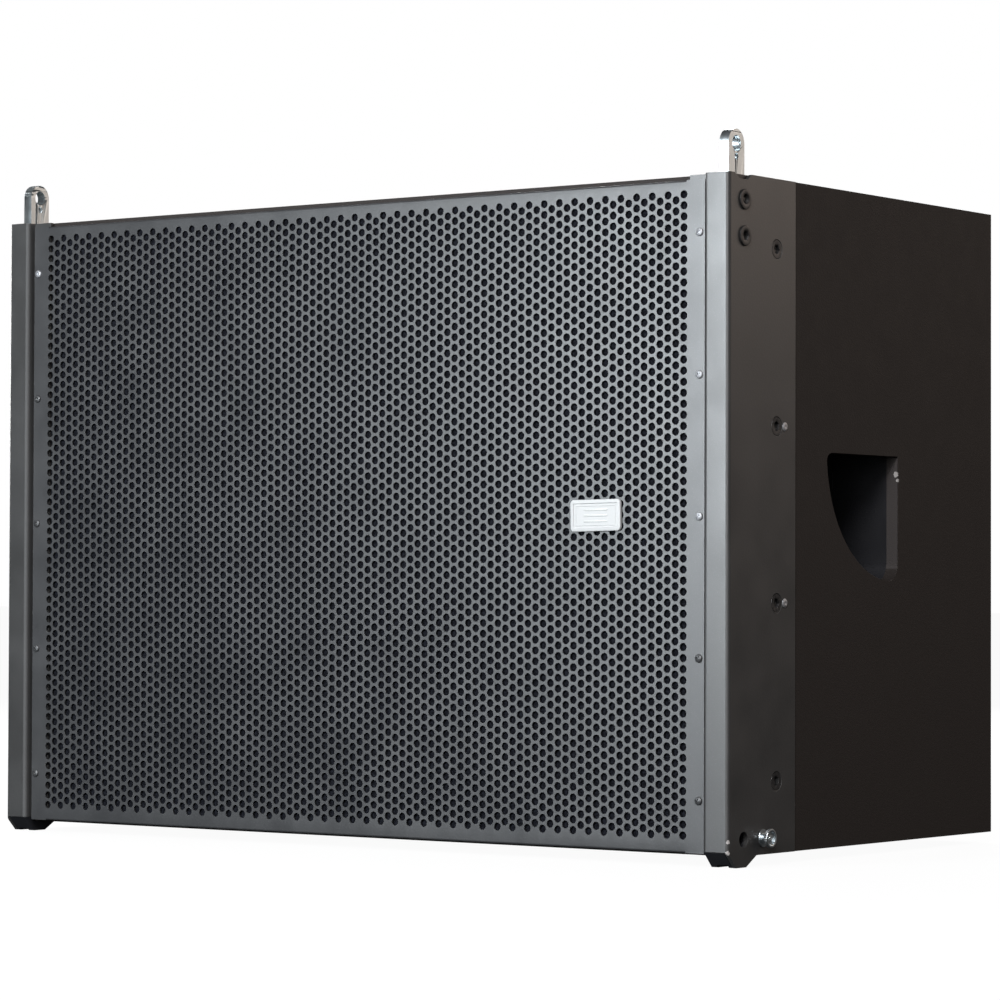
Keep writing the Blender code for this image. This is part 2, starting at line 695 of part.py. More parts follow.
def rear_link_bar():
    half = REAR_BAR[0] / 2
    low = above(REAR_BAR_BOTTOM)
    top = low + REAR_BAR[2]
    ends = arc((half - 0.006, top - 0.006), 0.006, 0, 90, 4)
    outline = ends + [(-x, z) for x, z in reversed(ends)] + [(-half, low), (half, low)]
    bar = prism("rear_link_bar", outline, "XZ", LINK_Y - REAR_BAR[1] / 2, LINK_Y + REAR_BAR[1] / 2)
    for height in REAR_BAR_HOLES:
        cut(bar, cylinder("rear_bar_hole", REAR_HOLE, 0.03, (0, LINK_Y, above(height)), "+Y", 16))
    return finish(bar, steel())


def rear_receiver():
    half = REAR_RECEIVER[0] / 2
    block = box("rear_receiver", (-half, half), (REAR_INNER, REAR_FACE),
                (BOTTOM + GAP, above(REAR_RECEIVER[1])))
    slot_half = REAR_BAR[0] / 2 + RUN
    slot_thick = REAR_BAR[1] / 2 + RUN
    slot = box("rear_receiver_slot", (-slot_half, slot_half),
               (LINK_Y - slot_thick, LINK_Y + slot_thick), (0.0, above(0.044)))
    cut(block, slot)
    for x in (0.0, REAR_PARK_X):
        spot = (x, LINK_Y, above(REAR_PIN_HEIGHT))
        cut(block, cylinder("rear_receiver_hole", REAR_HOLE, 0.04, spot, "+Y", 16))
    return finish(block, zinc())


def rear_lock_pin():
    base = (REAR_PARK_X, REAR_FACE, above(REAR_PIN_HEIGHT))
    profile = pin_profile(0.0040, 0.0140, 0.0065, 0.0050, 0.0024, 0.0040)
    finish(turned("rear_lock_pin", profile, base, "+Y", 20), steel())
    button = button_profile(0.0021, 0.0035, 0.0078)
    finish(turned("rear_pin_button", button, base, "+Y", 12), steel())


def rear_foot(side):
    top = BOTTOM - GAP
    profile = [(0.0, top), (0.0200, top), (0.0180, 0.0), (0.0, 0.0)]
    foot = turned(side_name("rear_foot", side), profile, (side * 0.240, 0.140, 0.0), "+Z", 24)
    return finish(foot, material("rubber", (0.018, 0.018, 0.018), 0.9))


# ---------------------------------------------------------------- rear sockets
def connector_plate():
    half_width = PLATE_SIZE[0] / 2
    half_height = PLATE_SIZE[1] / 2
    middle = above(PLATE_CENTRE)
    plate = box("connector_plate", (-half_width, half_width), (PLATE_FACE - PLATE_THICK, PLATE_FACE),
                (middle - half_height, middle + half_height))
    for side in (1, -1):
        spot = (side * SOCKET_X, PLATE_FACE, middle)
        cut(plate, cylinder("socket_hole", SOCKET_RADIUS + GAP, 0.02, spot, "+Y", 24))
    return finish(plate, rail_paint())


def speaker_socket(name, x):
    """Round locking socket: a cup with a front flange, open towards the back."""
    inner = SOCKET_RADIUS - 0.0015
    profile = [(0.0, -0.018), (inner, -0.018), (inner, 0.0023), (0.0145, 0.0023),
               (0.0150, 0.0018), (0.0150, GAP), (SOCKET_RADIUS, GAP), (SOCKET_RADIUS, -0.0205),
               (0.0, -0.0205)]
    socket = turned(name, profile, (x, PLATE_FACE, above(PLATE_CENTRE)), "+Y", 24)
    return finish(socket, plastic())


# ---------------------------------------------------------------- grille and badge
def grille():
    """Front sheet with a fold along its lower and upper edge, back towards the wood."""
    half = GRILLE_HALF_WIDTH
    front = behind(GRILLE_DEPTH)
    low = above(GRILLE_LOW)
    high = above(GRILLE_HIGH)
    sheet = box("grille", (-half, half), (front, front + GRILLE_SHEET), (low, high))
    for name, edge, inward in (("lower", low, 1), ("upper", high, -1)):
        start = edge + inward * GRILLE_FOLD_INSET
        join(sheet, box(f"grille_{name}_fold", (-GRILLE_FOLD_HALF, GRILLE_FOLD_HALF),
                        (front + 0.0002, behind(WOOD_FRONT) - 2 * GAP),
                        (start, start + inward * GRILLE_SHEET)))
    return finish(sheet, material("grille_powder_coat", (0.05, 0.052, 0.058), 0.45))


def grille_foam():
    front = behind(GRILLE_DEPTH + GRILLE_SHEET) + GAP
    half = TAB_INNER - 0.002
    pad = box("grille_foam", (-half, half), (front, front + FOAM),
              (above(FOAM_MARGIN), above(GRILLE_HIGH - FOAM_MARGIN)))
    return finish(pad, material("acoustic_foam", (0.012, 0.012, 0.016), 1.0))


def badge():
    reach_x = BADGE_SIZE[0] / 2 - BADGE_CORNER
    reach_z = BADGE_SIZE[1] / 2 - BADGE_CORNER
    outline = []
    for turn, (u, v) in enumerate([(1, 1), (-1, 1), (-1, -1), (1, -1)]):
        spot = (BADGE_X + u * reach_x, MIDDLE + v * reach_z)
        outline += arc(spot, BADGE_CORNER, 90 * turn, 90 * turn + 90, 4)
    back = behind(GRILLE_DEPTH) - GAP
    plate = prism("badge", outline, "XZ", back - BADGE_THICK, back)
    return finish(plate, material("badge_silver", (0.72, 0.73, 0.74), 0.35, 0.6))


# ---------------------------------------------------------------- woofer
def woofer_piece(name, profile, look):
    """Turned about the woofer's axis; heights are forward of the baffle's front face."""
    return finish(turned(name, profile, (0.0, BAFFLE_FACE, MIDDLE), "-Y"), look)


def woofer_frame():
    profile = [
        (FRAME_RADIUS, FRAME_FRONT), (FRAME_RADIUS, GAP), (CUTOUT - 0.001, GAP), (0.171, -0.025),
        (0.122, SPIDER_LEDGE - 0.004), (0.108, BASKET_BACK), (0.050, BASKET_BACK),
        (0.050, BASKET_BACK + 0.005), (0.102, BASKET_BACK + 0.005), (0.104, SPIDER_LEDGE),
        (0.118, SPIDER_LEDGE), (0.166, -0.025), (0.168, LEDGE), (0.182, LEDGE),
        (0.182, FRAME_FRONT)]
    frame = woofer_piece("woofer_frame", profile, material("cast_frame", (0.03, 0.03, 0.03), 0.5))
    for number in range(6):
        angle = math.radians(60 * number + 30)
        window = box("frame_window", *[(-size / 2, size / 2) for size in WINDOW_SIZE])
        window.location = (math.cos(angle) * WINDOW_RADIUS, BAFFLE_FACE + WINDOW_DEPTH,
                           MIDDLE + math.sin(angle) * WINDOW_RADIUS)
        window.rotation_euler = (0.0, -angle, 0.0)
        cut(frame, window)
    return frame


def woofer_gasket():
    low = FRAME_FRONT + GAP
    high = FRAME_FRONT + 0.004
    profile = [(FRAME_RADIUS, high), (FRAME_RADIUS, low), (0.178, low), (0.178, high)]
    return woofer_piece("woofer_gasket", profile, material("gasket", (0.02, 0.02, 0.02), 0.9))


def woofer_surround():
    """Half roll between the cone's edge and the frame's ledge."""
    low = LEDGE + GAP
    roll = arc((0.165, low + 0.001), 0.006, 180, 0, 5)
    inner_roll = arc((0.165, low), 0.005, 0, 180, 5)
    profile = [(0.150, low)] + [(0.150, low + 0.001)] + roll
    profile += [(0.1815, low + 0.001), (0.1815, low)] + inner_roll
    return woofer_piece("woofer_surround", profile, material("surround", (0.02, 0.02, 0.02), 0.8))


def woofer_cone():
    front = [(0.160, 0.003), (0.130, -0.006), (0.100, -0.018), (0.070, -0.034), (0.0405, -0.054)]
    back = [(0.0405, -0.057), (0.070, -0.037), (0.100, -0.021), (0.130, -0.009), (0.160, 0.0005)]
    return woofer_piece("woofer_cone", front + back, material("cone_paper", (0.03, 0.03, 0.03), 0.9))


def woofer_dust_cap():
    """Dome of even thickness over the voice coil, its rim on the cone."""
    rim, sphere, thickness = DOME
    centre = DOME_RIM - math.sqrt(sphere ** 2 - rim ** 2)
    outer = []
    inner = []
    for step in range(5):
        radius = rim * step / 4
        height = centre + math.sqrt(sphere ** 2 - radius ** 2)
        outer.append((radius, height + thickness))
        inner.append((radius, height))
    return woofer_piece("woofer_dust_cap", outer + inner[::-1],
                        material("cone_paper", (0.03, 0.03, 0.03), 0.9))


def voice_coil():
    outer, inner = COIL
    front, back = COIL_SPAN
    profile = [(outer, front), (outer, back), (inner, back), (inner, front)]
    return woofer_piece("voice_coil", profile, material("copper", (0.72, 0.38, 0.22), 0.3, 1.0))


def woofer_spider():
    """Corrugated centring ring from the voice coil to the frame's lower ledge."""
    level = SPIDER_LEDGE + 0.0015
    first, last = SPIDER_WAVES
    waves = []
    for step in range(9):
        radius = first + (last - first) * step / 8
        waves.append((radius, level + 0.002 * math.sin(step * math.pi / 2)))
    top = [(COIL[0] + GAP, level)] + waves + [(0.117, level)]
    below = [(radius, height - 0.0012) for radius, height in reversed(top)]
    return woofer_piece("woofer_spider", top + below, material("spider_cloth", (0.55, 0.40, 0.15), 0.9))


def magnet_system():
    plated = material("zinc_plate", (0.60, 0.62, 0.64), 0.35, 1.0)
    plate_thick, ring_thick, yoke_thick = MAGNET_STACK
    plate_back = MAGNET_FRONT - plate_thick
    ring_front = plate_back - GAP
    ring_back = ring_front - ring_thick
    yoke_front = ring_back - GAP
    yoke_back = yoke_front - yoke_thick
    front_plate = [(0.085, MAGNET_FRONT), (0.085, plate_back), (0.0402, plate_back),
                   (0.0402, MAGNET_FRONT)]
    ring = [(0.100, ring_front), (0.100, ring_back), (0.046, ring_back), (0.046, ring_front)]
    yoke = [(0.036, MAGNET_FRONT), (0.036, yoke_front), (0.092, yoke_front), (0.092, yoke_back),
            (0.012, yoke_back), (0.012, MAGNET_FRONT)]
    woofer_piece("magnet_front_plate", front_plate, plated)
    woofer_piece("magnet_ring", ring, material("ferrite", (0.03, 0.03, 0.032), 0.55))
    woofer_piece("magnet_yoke", yoke, plated)


def internal_cable():
    """Lead from the input socket to the woofer's terminal, on one smooth curve."""
    route = [
        (0.026, 0.164, 0.203), (0.026, 0.150, 0.203), (0.030, 0.115, 0.188),
        (0.052, 0.075, 0.150), (0.078, 0.035, 0.158), (0.088, 0.005, 0.186),
        (0.088, -0.020, 0.193), (0.088, -0.044, 0.193)]
    ends = [route[0]] + route + [route[-1]]
    points = []
    for before, start, end, after in zip(ends, ends[1:], ends[2:], ends[3:]):
        for step in range(4):
            t = step / 4
            points.append([
                0.5 * (2 * b + (c - a) * t + (2 * a - 5 * b + 4 * c - d) * t * t
                       + (3 * b - a - 3 * c + d) * t ** 3)
                for a, b, c, d in zip(before, start, end, after)])
    points.append(route[-1])
    curve = bpy.data.curves.new("internal_cable", "CURVE")
    curve.dimensions = "3D"
    curve.bevel_depth = 0.003
    curve.bevel_resolution = 2
    curve.use_fill_caps = True
    spline = curve.splines.new("POLY")
    spline.points.add(len(points) - 1)
    for point, place in zip(spline.points, points):
        point.co = (*place, 1.0)
    obj = bpy.data.objects.new("internal_cable", curve)
    collection(PARTS).objects.link(obj)
    return finish(obj, material("cable_pvc", (0.03, 0.03, 0.03), 0.6))


# ---------------------------------------------------------------- assembly
def cabinet():
    long_panel("top_panel", TOP - PLY, REAR_GUIDE[0])
    long_panel("bottom_panel", BOTTOM, REAR_RECEIVER[0])
    back_panel()
    front_baffle()
    cross_brace()
    damping_wadding()
    for side in (1, -1):
        side_panel(side)
        port_wall(side)
        handle_cup(side)
        rear_foot(side)


def rigging():
    for side in (1, -1):
        rail(side)
        link_guide(side)
        link_bar(side)
        foot_block(side)
        lock_pin(side)
        for piece, drop in RING_DROPS.items():
            ring_fastener(piece, side, drop)
        for number, height in enumerate(SCREW_HEIGHTS, 1):
            rail_screw(side, number, height)
    rear_link_guide()
    rear_link_bar()
    rear_receiver()
    rear_lock_pin()


def front_cover():
    grille()
    grille_foam()
    badge()


def electrics():
    connector_plate()
    speaker_socket("speaker_socket_input", SOCKET_X)
    speaker_socket("speaker_socket_link", -SOCKET_X)
    internal_cable()


def woofer():
    woofer_frame()
    woofer_gasket()
    woofer_surround()
    woofer_cone()
    woofer_dust_cap()
    voice_coil()
    woofer_spider()
    magnet_system()


def main():
    clear_scene()
    cabinet()
    rigging()
    front_cover()
    electrics()
    woofer()


main()
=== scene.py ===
"""Looks of the line array bass loudspeaker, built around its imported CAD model.
Metres, +Z up, front towards -Y. Every new piece is modelled in place, in the frame's coordinates."""
import math

import bmesh
import bpy
from mathutils import Matrix, Vector, noise


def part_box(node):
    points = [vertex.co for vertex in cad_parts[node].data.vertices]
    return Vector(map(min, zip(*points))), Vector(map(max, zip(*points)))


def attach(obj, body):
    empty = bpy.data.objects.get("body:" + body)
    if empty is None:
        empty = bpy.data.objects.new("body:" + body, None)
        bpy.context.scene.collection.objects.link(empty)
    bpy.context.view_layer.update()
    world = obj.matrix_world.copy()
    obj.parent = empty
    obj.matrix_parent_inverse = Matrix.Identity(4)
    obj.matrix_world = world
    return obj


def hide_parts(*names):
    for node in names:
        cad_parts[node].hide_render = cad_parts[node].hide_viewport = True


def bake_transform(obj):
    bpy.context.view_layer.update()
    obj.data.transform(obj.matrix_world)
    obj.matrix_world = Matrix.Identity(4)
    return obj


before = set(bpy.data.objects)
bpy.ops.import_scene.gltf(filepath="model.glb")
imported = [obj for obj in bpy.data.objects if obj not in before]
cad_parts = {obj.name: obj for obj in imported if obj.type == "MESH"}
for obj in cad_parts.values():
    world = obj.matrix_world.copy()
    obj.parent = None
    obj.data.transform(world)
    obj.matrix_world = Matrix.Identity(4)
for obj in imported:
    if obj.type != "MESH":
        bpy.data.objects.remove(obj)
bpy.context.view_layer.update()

# -------------------- sizes of what is made here
HOLE_STEP = 0.008                 # between the holes of one column
COLUMN_STEP = HOLE_STEP * math.sqrt(3) / 2
HOLE_RADIUS = 0.0031
HOLE_COLUMNS = 91
HOLE_ROWS = 59                    # in the long columns; the others have one hole less
HOLE_RISE = 0.0012                # middle of the holes above the middle of the grille
GRILLE_SHEET = 0.0010
FOLD_HALF = 0.3135                # the sheet's long edges are folded back this far from the middle
FOLD_RADIUS = 0.0016
ROUNDED = 6                       # decimals at which two corners of the sheet are one point
GRILLE_SCREW_X = 0.3255
GRILLE_SCREW_HEIGHTS = (0.0475, 0.150, 0.2525, 0.355, 0.458)
# Screws with bright zinc heads, given to the upper screws where the light catches them: zinc, and also a
# painted highlight.
ZINC_AND_HIGHLIT_GRILLE_SCREWS = {(-1, 4), (1, 4), (1, 3), (1, 2)}      # (side, row from below, from 0)

BADGE_TURN = math.radians(0.8)    # it sits a little crooked
BADGE_CORNER = 0.003
BADGE_SINK = 0.0007               # of the field inside the rim
BADGE_RELIEF = 0.0003             # of the frame line and the bars, over the field
BADGE_BARS = (0.0042, 0.0, -0.0042)
BADGE_BAR_HALF = (0.0105, 0.0008)

RAIL_SCREWS = 4                   # down each side plate
RIVETED_SCREWS = (2, 3)
RIVET_BEHIND_SCREW = 0.0108
KNURL_RIDGES = 36
KNURL_DEPTH = 0.022               # as a share of the radius
PLATE_SCREW_INSET = 0.008
SOCKET_CONTACTS = 4
CONTACT_OFF_AXIS = 0.0047
DIMPLE_BELOW_TOP = 0.020

WOOFER_BOLTS = 8
WOOFER_BOLT_CIRCLE = 0.186
FLEX_STEPS = 6                    # along each sector of a ring that bends
SURROUND_SECTORS = 16
SURROUND_STEPS = 16               # round its half roll
SURROUND_SHEET = 0.001
SURROUND_SPAN = (0.150, 0.1815)   # inner and outer radius
ROLL_RADIUS = 0.006
ROLL_MIDDLE = 0.165               # off the woofer's axis
SPIDER_SECTORS = 8
SPIDER_STEPS = 72                 # across its waves
SPIDER_HALF_SHEET = 0.0004
SPIDER_SPAN = (0.0396, 0.1165)    # inner and outer radius
SPIDER_WAVES = (0.043, 0.103)     # radii where its waves start and end
SPIDER_WAVE = 0.015               # from crest to crest
SPIDER_SWING = 0.0018

WELD_REACH = 0.000005             # points closer than this are one
SHARP_ANGLE = math.radians(35)    # where faces turn further than this, the edge is a sharp one
PILLOW_POWER = 6                  # how close to a soft slab's faces its swelling stays
WEAR_PATCH = 0.004                # size of the patches of wear along edges

# Chips: (place, reach) each. The rubbed-and-lit stretch and the dull one: spans, as Look.slabs takes them.
CHIPPED_PAINT = (((0.3510, 0.0474, 0.2885), 0.0036), ((0.3526, 0.0470, 0.2840), 0.0022))
# Lighter paint on the rear wall of each handle opening: rubbed paint, and also a painted highlight for the
# front light falling on that wall, fading towards its top and bottom.
RUBBED_AND_LIT_PAINT = ((0.3470, 0.0052, 0.0004), (0.0470, 0.0005, 0.0006), (0.2600, 0.0600, 0.0150))
DULL_BEND = ((0.3332, 0.0016, 0.0016), (-0.1915, 0.0030, 0.0010), (0.2500, 0.3000, 0.0100))
CHIPPED_RAIL = (((0.3530, -0.1920, 0.0110), 0.0030), ((0.3532, -0.1918, 0.0190), 0.0024))

CAMERA_SPOT = Vector((1.84076, -2.48821, 0.198225))
CAMERA_AZIMUTH = math.radians(36.365)
CAMERA_PITCH = math.radians(1.366)
CAMERA_ROLL = math.radians(0.183)
CAMERA_LENS = 137.31
CAMERA_SENSOR = 36.0
WORLD_TONES = ((0.40, 0.02), (0.49, 0.07), (0.56, 0.09), (0.66, 0.05), (1.0, 0.04))   # from below to above
FLOOR_HALF = 30.0
FLOOR_DROP = 0.0003               # below the feet, so that nothing cuts it
FLOOR_GLOW = 0.95

# Softboxes: name, place, what it faces, size, power, colour.
SOFTBOXES = (
    ("key_high", (-0.25, -1.65, 0.60), (0.30, -0.19, 0.40), (0.34, 0.35), 17.0, (0.89, 0.955, 1.0)),
    ("key_low", (-0.25, -1.65, 0.25), (0.30, -0.19, 0.22), (0.34, 0.35), 6.3, (0.90, 0.955, 1.0)),
    ("key_left", (-0.60, -1.65, 0.60), (0.30, -0.19, 0.40), (0.34, 0.35), 3.9, (0.89, 0.955, 1.0)),
    ("front_high", (1.40, -2.40, 2.00), (0.0, -0.19, 0.25), (1.0, 1.0), 76.0, (1.0, 0.975, 0.985)),
    ("front_low", (1.60, -2.70, 0.60), (0.3, -0.19, 0.25), (1.0, 1.0), 14.0, (1.0, 0.99, 0.98)),
    ("back_right", (1.99, 2.19, 1.47), (0.354, 0.0, 0.25), (2.9, 1.45), 17.5, (1.0, 0.82, 0.70)),
    ("back", (-1.20, 2.60, 1.60), (0.0, 0.19, 0.25), (1.4, 1.4), 110.0, (1.0, 1.0, 1.0)),
    ("left", (-2.40, 0.50, 1.00), (-0.354, 0.0, 0.25), (1.2, 1.2), 60.0, (1.0, 1.0, 1.0)),
)


# -------------------- materials
class Look:
    """A node material in the making. Its patterns run in the piece's own coordinates, in metres."""

    def __init__(self, name, roughness=0.5, metallic=0.0, specular=0.5):
        self.material = bpy.data.materials.new(name + "_look")
        self.material.use_nodes = True
        self.tree = self.material.node_tree
        self.shader = self.tree.nodes["Principled BSDF"]
        self.shader.inputs["Roughness"].default_value = roughness
        self.shader.inputs["Metallic"].default_value = metallic
        self.shader.inputs["Specular IOR Level"].default_value = specular
        self.place = self.add("ShaderNodeTexCoord").outputs["Object"]

    def add(self, kind, **settings):
        node = self.tree.nodes.new(kind)
        for key, value in settings.items():
            setattr(node, key, value)
        return node

    def feed(self, socket, value):
        """Links a socket to another, or sets it to a plain value."""
        if isinstance(value, bpy.types.NodeSocket):
            self.tree.links.new(value, socket)
        else:
            socket.default_value = value

    def stretched(self, scale):
        """The piece's coordinates, scaled, for brushed, drawn and fibrous patterns."""
        node = self.add("ShaderNodeMapping")
        self.feed(node.inputs["Vector"], self.place)
        node.inputs["Scale"].default_value = scale
        return node.outputs["Vector"]

    def noise(self, size, detail=2.0, where=None, distortion=0.0):
        """Soft noise, 0 to 1, with lumps about this size."""
        node = self.add("ShaderNodeTexNoise")
        self.feed(node.inputs["Vector"], where or self.place)
        node.inputs["Scale"].default_value = 1 / size
        node.inputs["Detail"].default_value = detail
        node.inputs["Distortion"].default_value = distortion
        return node.outputs["Fac"]

    def cells(self, size):
        """Distance to the nearest point of a random scatter, in units of this size."""
        node = self.add("ShaderNodeTexVoronoi")
        self.feed(node.inputs["Vector"], self.place)
        node.inputs["Scale"].default_value = 1 / size
        return node.outputs["Distance"]

    def wave(self, size, direction, distortion=0.0):
        """Even ripples of this period along an axis."""
        node = self.add("ShaderNodeTexWave", bands_direction=direction)
        self.feed(node.inputs["Vector"], self.place)
        node.inputs["Scale"].default_value = math.pi / 10 / size
        node.inputs["Distortion"].default_value = distortion
        return node.outputs["Fac"]

    def spread(self, value, low, high, start=0.0, end=1.0):
        """Takes low..high to start..end, and clamps."""
        node = self.add("ShaderNodeMapRange")
        for socket, number in zip(node.inputs, (value, low, high, start, end)):
            self.feed(socket, number)
        return node.outputs["Result"]

    def maths(self, operation, one, other=0.0):
        """One of Blender's sums; those that take one value leave the other out."""
        node = self.add("ShaderNodeMath", operation=operation)
        self.feed(node.inputs[0], one)
        self.feed(node.inputs[1], other)
        return node.outputs["Value"]

    def mixed(self, share, one, other):
        """A colour between two."""
        node = self.add("ShaderNodeMix", data_type="RGBA")
        self.feed(node.inputs["Factor"], share)
        for socket, colour in ((node.inputs["A"], one), (node.inputs["B"], other)):
            self.feed(socket, colour if isinstance(colour, bpy.types.NodeSocket) else (*colour, 1.0))
        return node.outputs["Result"]

    def edges(self, reach):
        """Broken patches, 0 to 1, along the piece's sharp edges, where paint wears first."""
        bevel = self.add("ShaderNodeBevel", samples=4)
        bevel.inputs["Radius"].default_value = reach
        flat = self.add("ShaderNodeNewGeometry")
        turn = self.add("ShaderNodeVectorMath", operation="DOT_PRODUCT")
        self.feed(turn.inputs[0], bevel.outputs["Normal"])
        self.feed(turn.inputs[1], flat.outputs["Normal"])
        edge = self.spread(turn.outputs["Value"], 0.99, 0.85)
        patches = self.spread(self.noise(WEAR_PATCH, 4.0), 0.56, 0.66)
        return self.maths("MULTIPLY", edge, patches)

    def chips(self, spots):
        """Ragged patches of lost paint, 0 to 1, round some spots: (place, reach) each."""
        ragged = self.noise(0.0013, 4.0)
        mask = 0.0
        for place, reach in spots:
            away = self.add("ShaderNodeVectorMath", operation="DISTANCE")
            self.feed(away.inputs[0], self.place)
            away.inputs[1].default_value = place
            near = self.spread(away.outputs["Value"], reach, 0.2 * reach)
            lost = self.spread(self.maths("ADD", near, ragged), 1.02, 1.08)
            mask = self.maths("MAXIMUM", mask, lost)
        return mask

    def slabs(self, spans):
        """A soft-edged block on either side, 0 to 1: spans of distance from the middle plane, of Y
        and of Z, each (middle, half width, soft margin)."""
        split = self.add("ShaderNodeSeparateXYZ")
        self.feed(split.inputs[0], self.place)
        x, y, z = split.outputs
        share = 1.0
        for value, (middle, half, soft) in zip((self.maths("ABSOLUTE", x), y, z), spans):
            off = self.maths("ABSOLUTE", self.maths("SUBTRACT", value, middle))
            share = self.maths("MULTIPLY", share, self.spread(off, half + soft, half))
        return share

    def colour(self, value):
        self.feed(self.shader.inputs["Base Color"], value)

    def roughness(self, value):
        self.feed(self.shader.inputs["Roughness"], value)

    def bump(self, height, depth, under=None):
        """Relief of this depth, in metres, where height goes from 0 to 1."""
        node = self.add("ShaderNodeBump")
        node.inputs["Distance"].default_value = depth
        self.feed(node.inputs["Height"], height)
        if under:
            self.feed(node.inputs["Normal"], under)
        self.feed(self.shader.inputs["Normal"], node.outputs["Normal"])
        return node.outputs["Normal"]


def textured_paint():
    """Sprayed textured paint on the plywood: fine grain, faint cloudiness, chips at a handle, and a lighter
    strip on each handle opening's rear wall that is rubbed paint and also a painted highlight.
    """
    look = Look("textured_paint", specular=0.22)
    grain = look.cells(0.0011)
    cloud = look.noise(0.060, 3.0)
    tone = look.mixed(cloud, (0.0195, 0.0160, 0.0145), (0.0225, 0.0190, 0.0175))
    paint = look.mixed(look.spread(grain, 0.1, 0.7, 0.0, 0.35), tone, (0.036, 0.031, 0.029))
    worn = look.mixed(look.edges(0.0010), paint, (0.075, 0.068, 0.062))
    # Lighter paint on the handle openings' rear walls: rubbed paint, and also a painted highlight for the
    # light falling on them.
    rubbed_and_lit = look.mixed(look.slabs(RUBBED_AND_LIT_PAINT), worn, (0.056, 0.051, 0.050))
    look.colour(look.mixed(look.chips(CHIPPED_PAINT), rubbed_and_lit, (0.42, 0.41, 0.40)))
    look.roughness(look.spread(look.noise(0.02, 4.0), 0.3, 0.7, 0.64, 0.70))
    under = look.bump(look.noise(0.0022, 3.0), 0.00006)
    look.bump(grain, 0.00008, under)
    return look.material


def powder_coat(name, dark, light):
    """Satin powder coat on steel: orange peel, fine speckle, cloudy gloss and a few chips."""
    look = Look(name, specular=1.0)
    peel = look.noise(0.0016, 2.0)
    speckle = look.noise(0.0007, 1.0)
    cloud = look.noise(0.035, 4.0)
    tone = look.mixed(look.spread(cloud, 0.3, 0.7), dark, light)
    coat = look.mixed(look.spread(speckle, 0.62, 0.78, 0.0, 0.35), tone, (0.10, 0.10, 0.105))
    worn = look.mixed(look.edges(0.0006), coat, (0.16, 0.16, 0.16))
    look.colour(look.mixed(look.chips(CHIPPED_RAIL), worn, (0.40, 0.38, 0.37)))
    gloss = look.spread(cloud, 0.3, 0.7, 0.38, 0.46)
    dull = look.spread(look.slabs(DULL_BEND), 0.0, 1.0, 0.0, 0.72)
    look.roughness(look.maths("MAXIMUM", gloss, dull))
    look.bump(peel, 0.00005)
    return look.material


def stainless_steel():
    """Satin steel with drawn lines along its length and handling marks."""
    look = Look("stainless_steel", metallic=1.0)
    lines = look.noise(0.0010, 3.0, look.stretched((1.0, 1.0, 0.05)))
    marks = look.noise(0.012, 4.0)
    look.colour(look.mixed(marks, (0.59, 0.65, 0.68), (0.67, 0.73, 0.76)))
    shine = look.spread(marks, 0.3, 0.7, 0.28, 0.38)
    look.roughness(look.maths("ADD", shine, look.spread(lines, 0.3, 0.7, 0.0, 0.06)))
    look.bump(lines, 0.000003)
    return look.material


def bright_zinc():
    look = Look("bright_zinc", metallic=0.7)
    marks = look.noise(0.0018, 3.0)
    look.colour(look.mixed(marks, (0.36, 0.37, 0.39), (0.52, 0.53, 0.55)))
    look.roughness(look.spread(marks, 0.3, 0.7, 0.42, 0.56))
    look.bump(marks, 0.00002)
    return look.material


def black_zinc():
    look = Look("black_zinc", metallic=0.85)
    marks = look.noise(0.003, 4.0)
    look.colour(look.mixed(marks, (0.045, 0.045, 0.048), (0.105, 0.104, 0.104)))
    look.roughness(look.spread(marks, 0.3, 0.7, 0.34, 0.52))
    look.bump(look.noise(0.0009, 2.0), 0.00002)
    return look.material


def black_plastic():
    """Moulded plastic with a spark-eroded grain."""
    look = Look("black_plastic", specular=0.4)
    grain = look.cells(0.0008)
    look.colour(look.mixed(look.noise(0.030, 3.0), (0.0095, 0.0100, 0.0125), (0.0150, 0.0158, 0.0190)))
    look.roughness(look.spread(look.noise(0.012, 3.0), 0.3, 0.7, 0.48, 0.60))
    look.bump(grain, 0.00005)
    return look.material


def rubber():
    look = Look("rubber", specular=0.3)
    look.colour(look.mixed(look.noise(0.008, 4.0), (0.012, 0.012, 0.012), (0.022, 0.021, 0.020)))
    look.roughness(look.spread(look.noise(0.004, 3.0), 0.3, 0.7, 0.72, 0.88))
    look.bump(look.noise(0.0010, 3.0), 0.00005)
    return look.material


def acoustic_foam():
    """Open-cell foam: dark pores between thin walls."""
    look = Look("acoustic_foam", roughness=1.0, specular=0.1)
    pores = look.cells(0.0014)
    walls = look.spread(pores, 0.25, 0.75)
    look.colour(look.mixed(walls, (0.0020, 0.0022, 0.0034), (0.0090, 0.0100, 0.0140)))
    look.bump(pores, 0.0006)
    return look.material


def wadding():
    """Bonded polyester wadding: tangled fibres over soft lumps."""
    look = Look("wadding", roughness=0.95, specular=0.1)
    fibres = look.noise(0.0020, 6.0, look.stretched((1.0, 0.25, 1.0)), 1.5)
    look.colour(look.mixed(look.spread(fibres, 0.3, 0.7), (0.50, 0.50, 0.48), (0.78, 0.78, 0.76)))
    look.shader.inputs["Sheen Weight"].default_value = 0.4
    look.bump(fibres, 0.0009)
    return look.material


def badge_silver():
    """White-silver lacquer on a cast plate."""
    look = Look("badge_silver", specular=0.3)
    brushed = look.noise(0.0006, 2.0, look.stretched((0.06, 1.0, 1.0)))
    look.colour(look.mixed(brushed, (0.47, 0.48, 0.48), (0.53, 0.54, 0.54)))
    look.roughness(look.spread(brushed, 0.3, 0.7, 0.42, 0.52))
    look.bump(brushed, 0.000010)
    return look.material


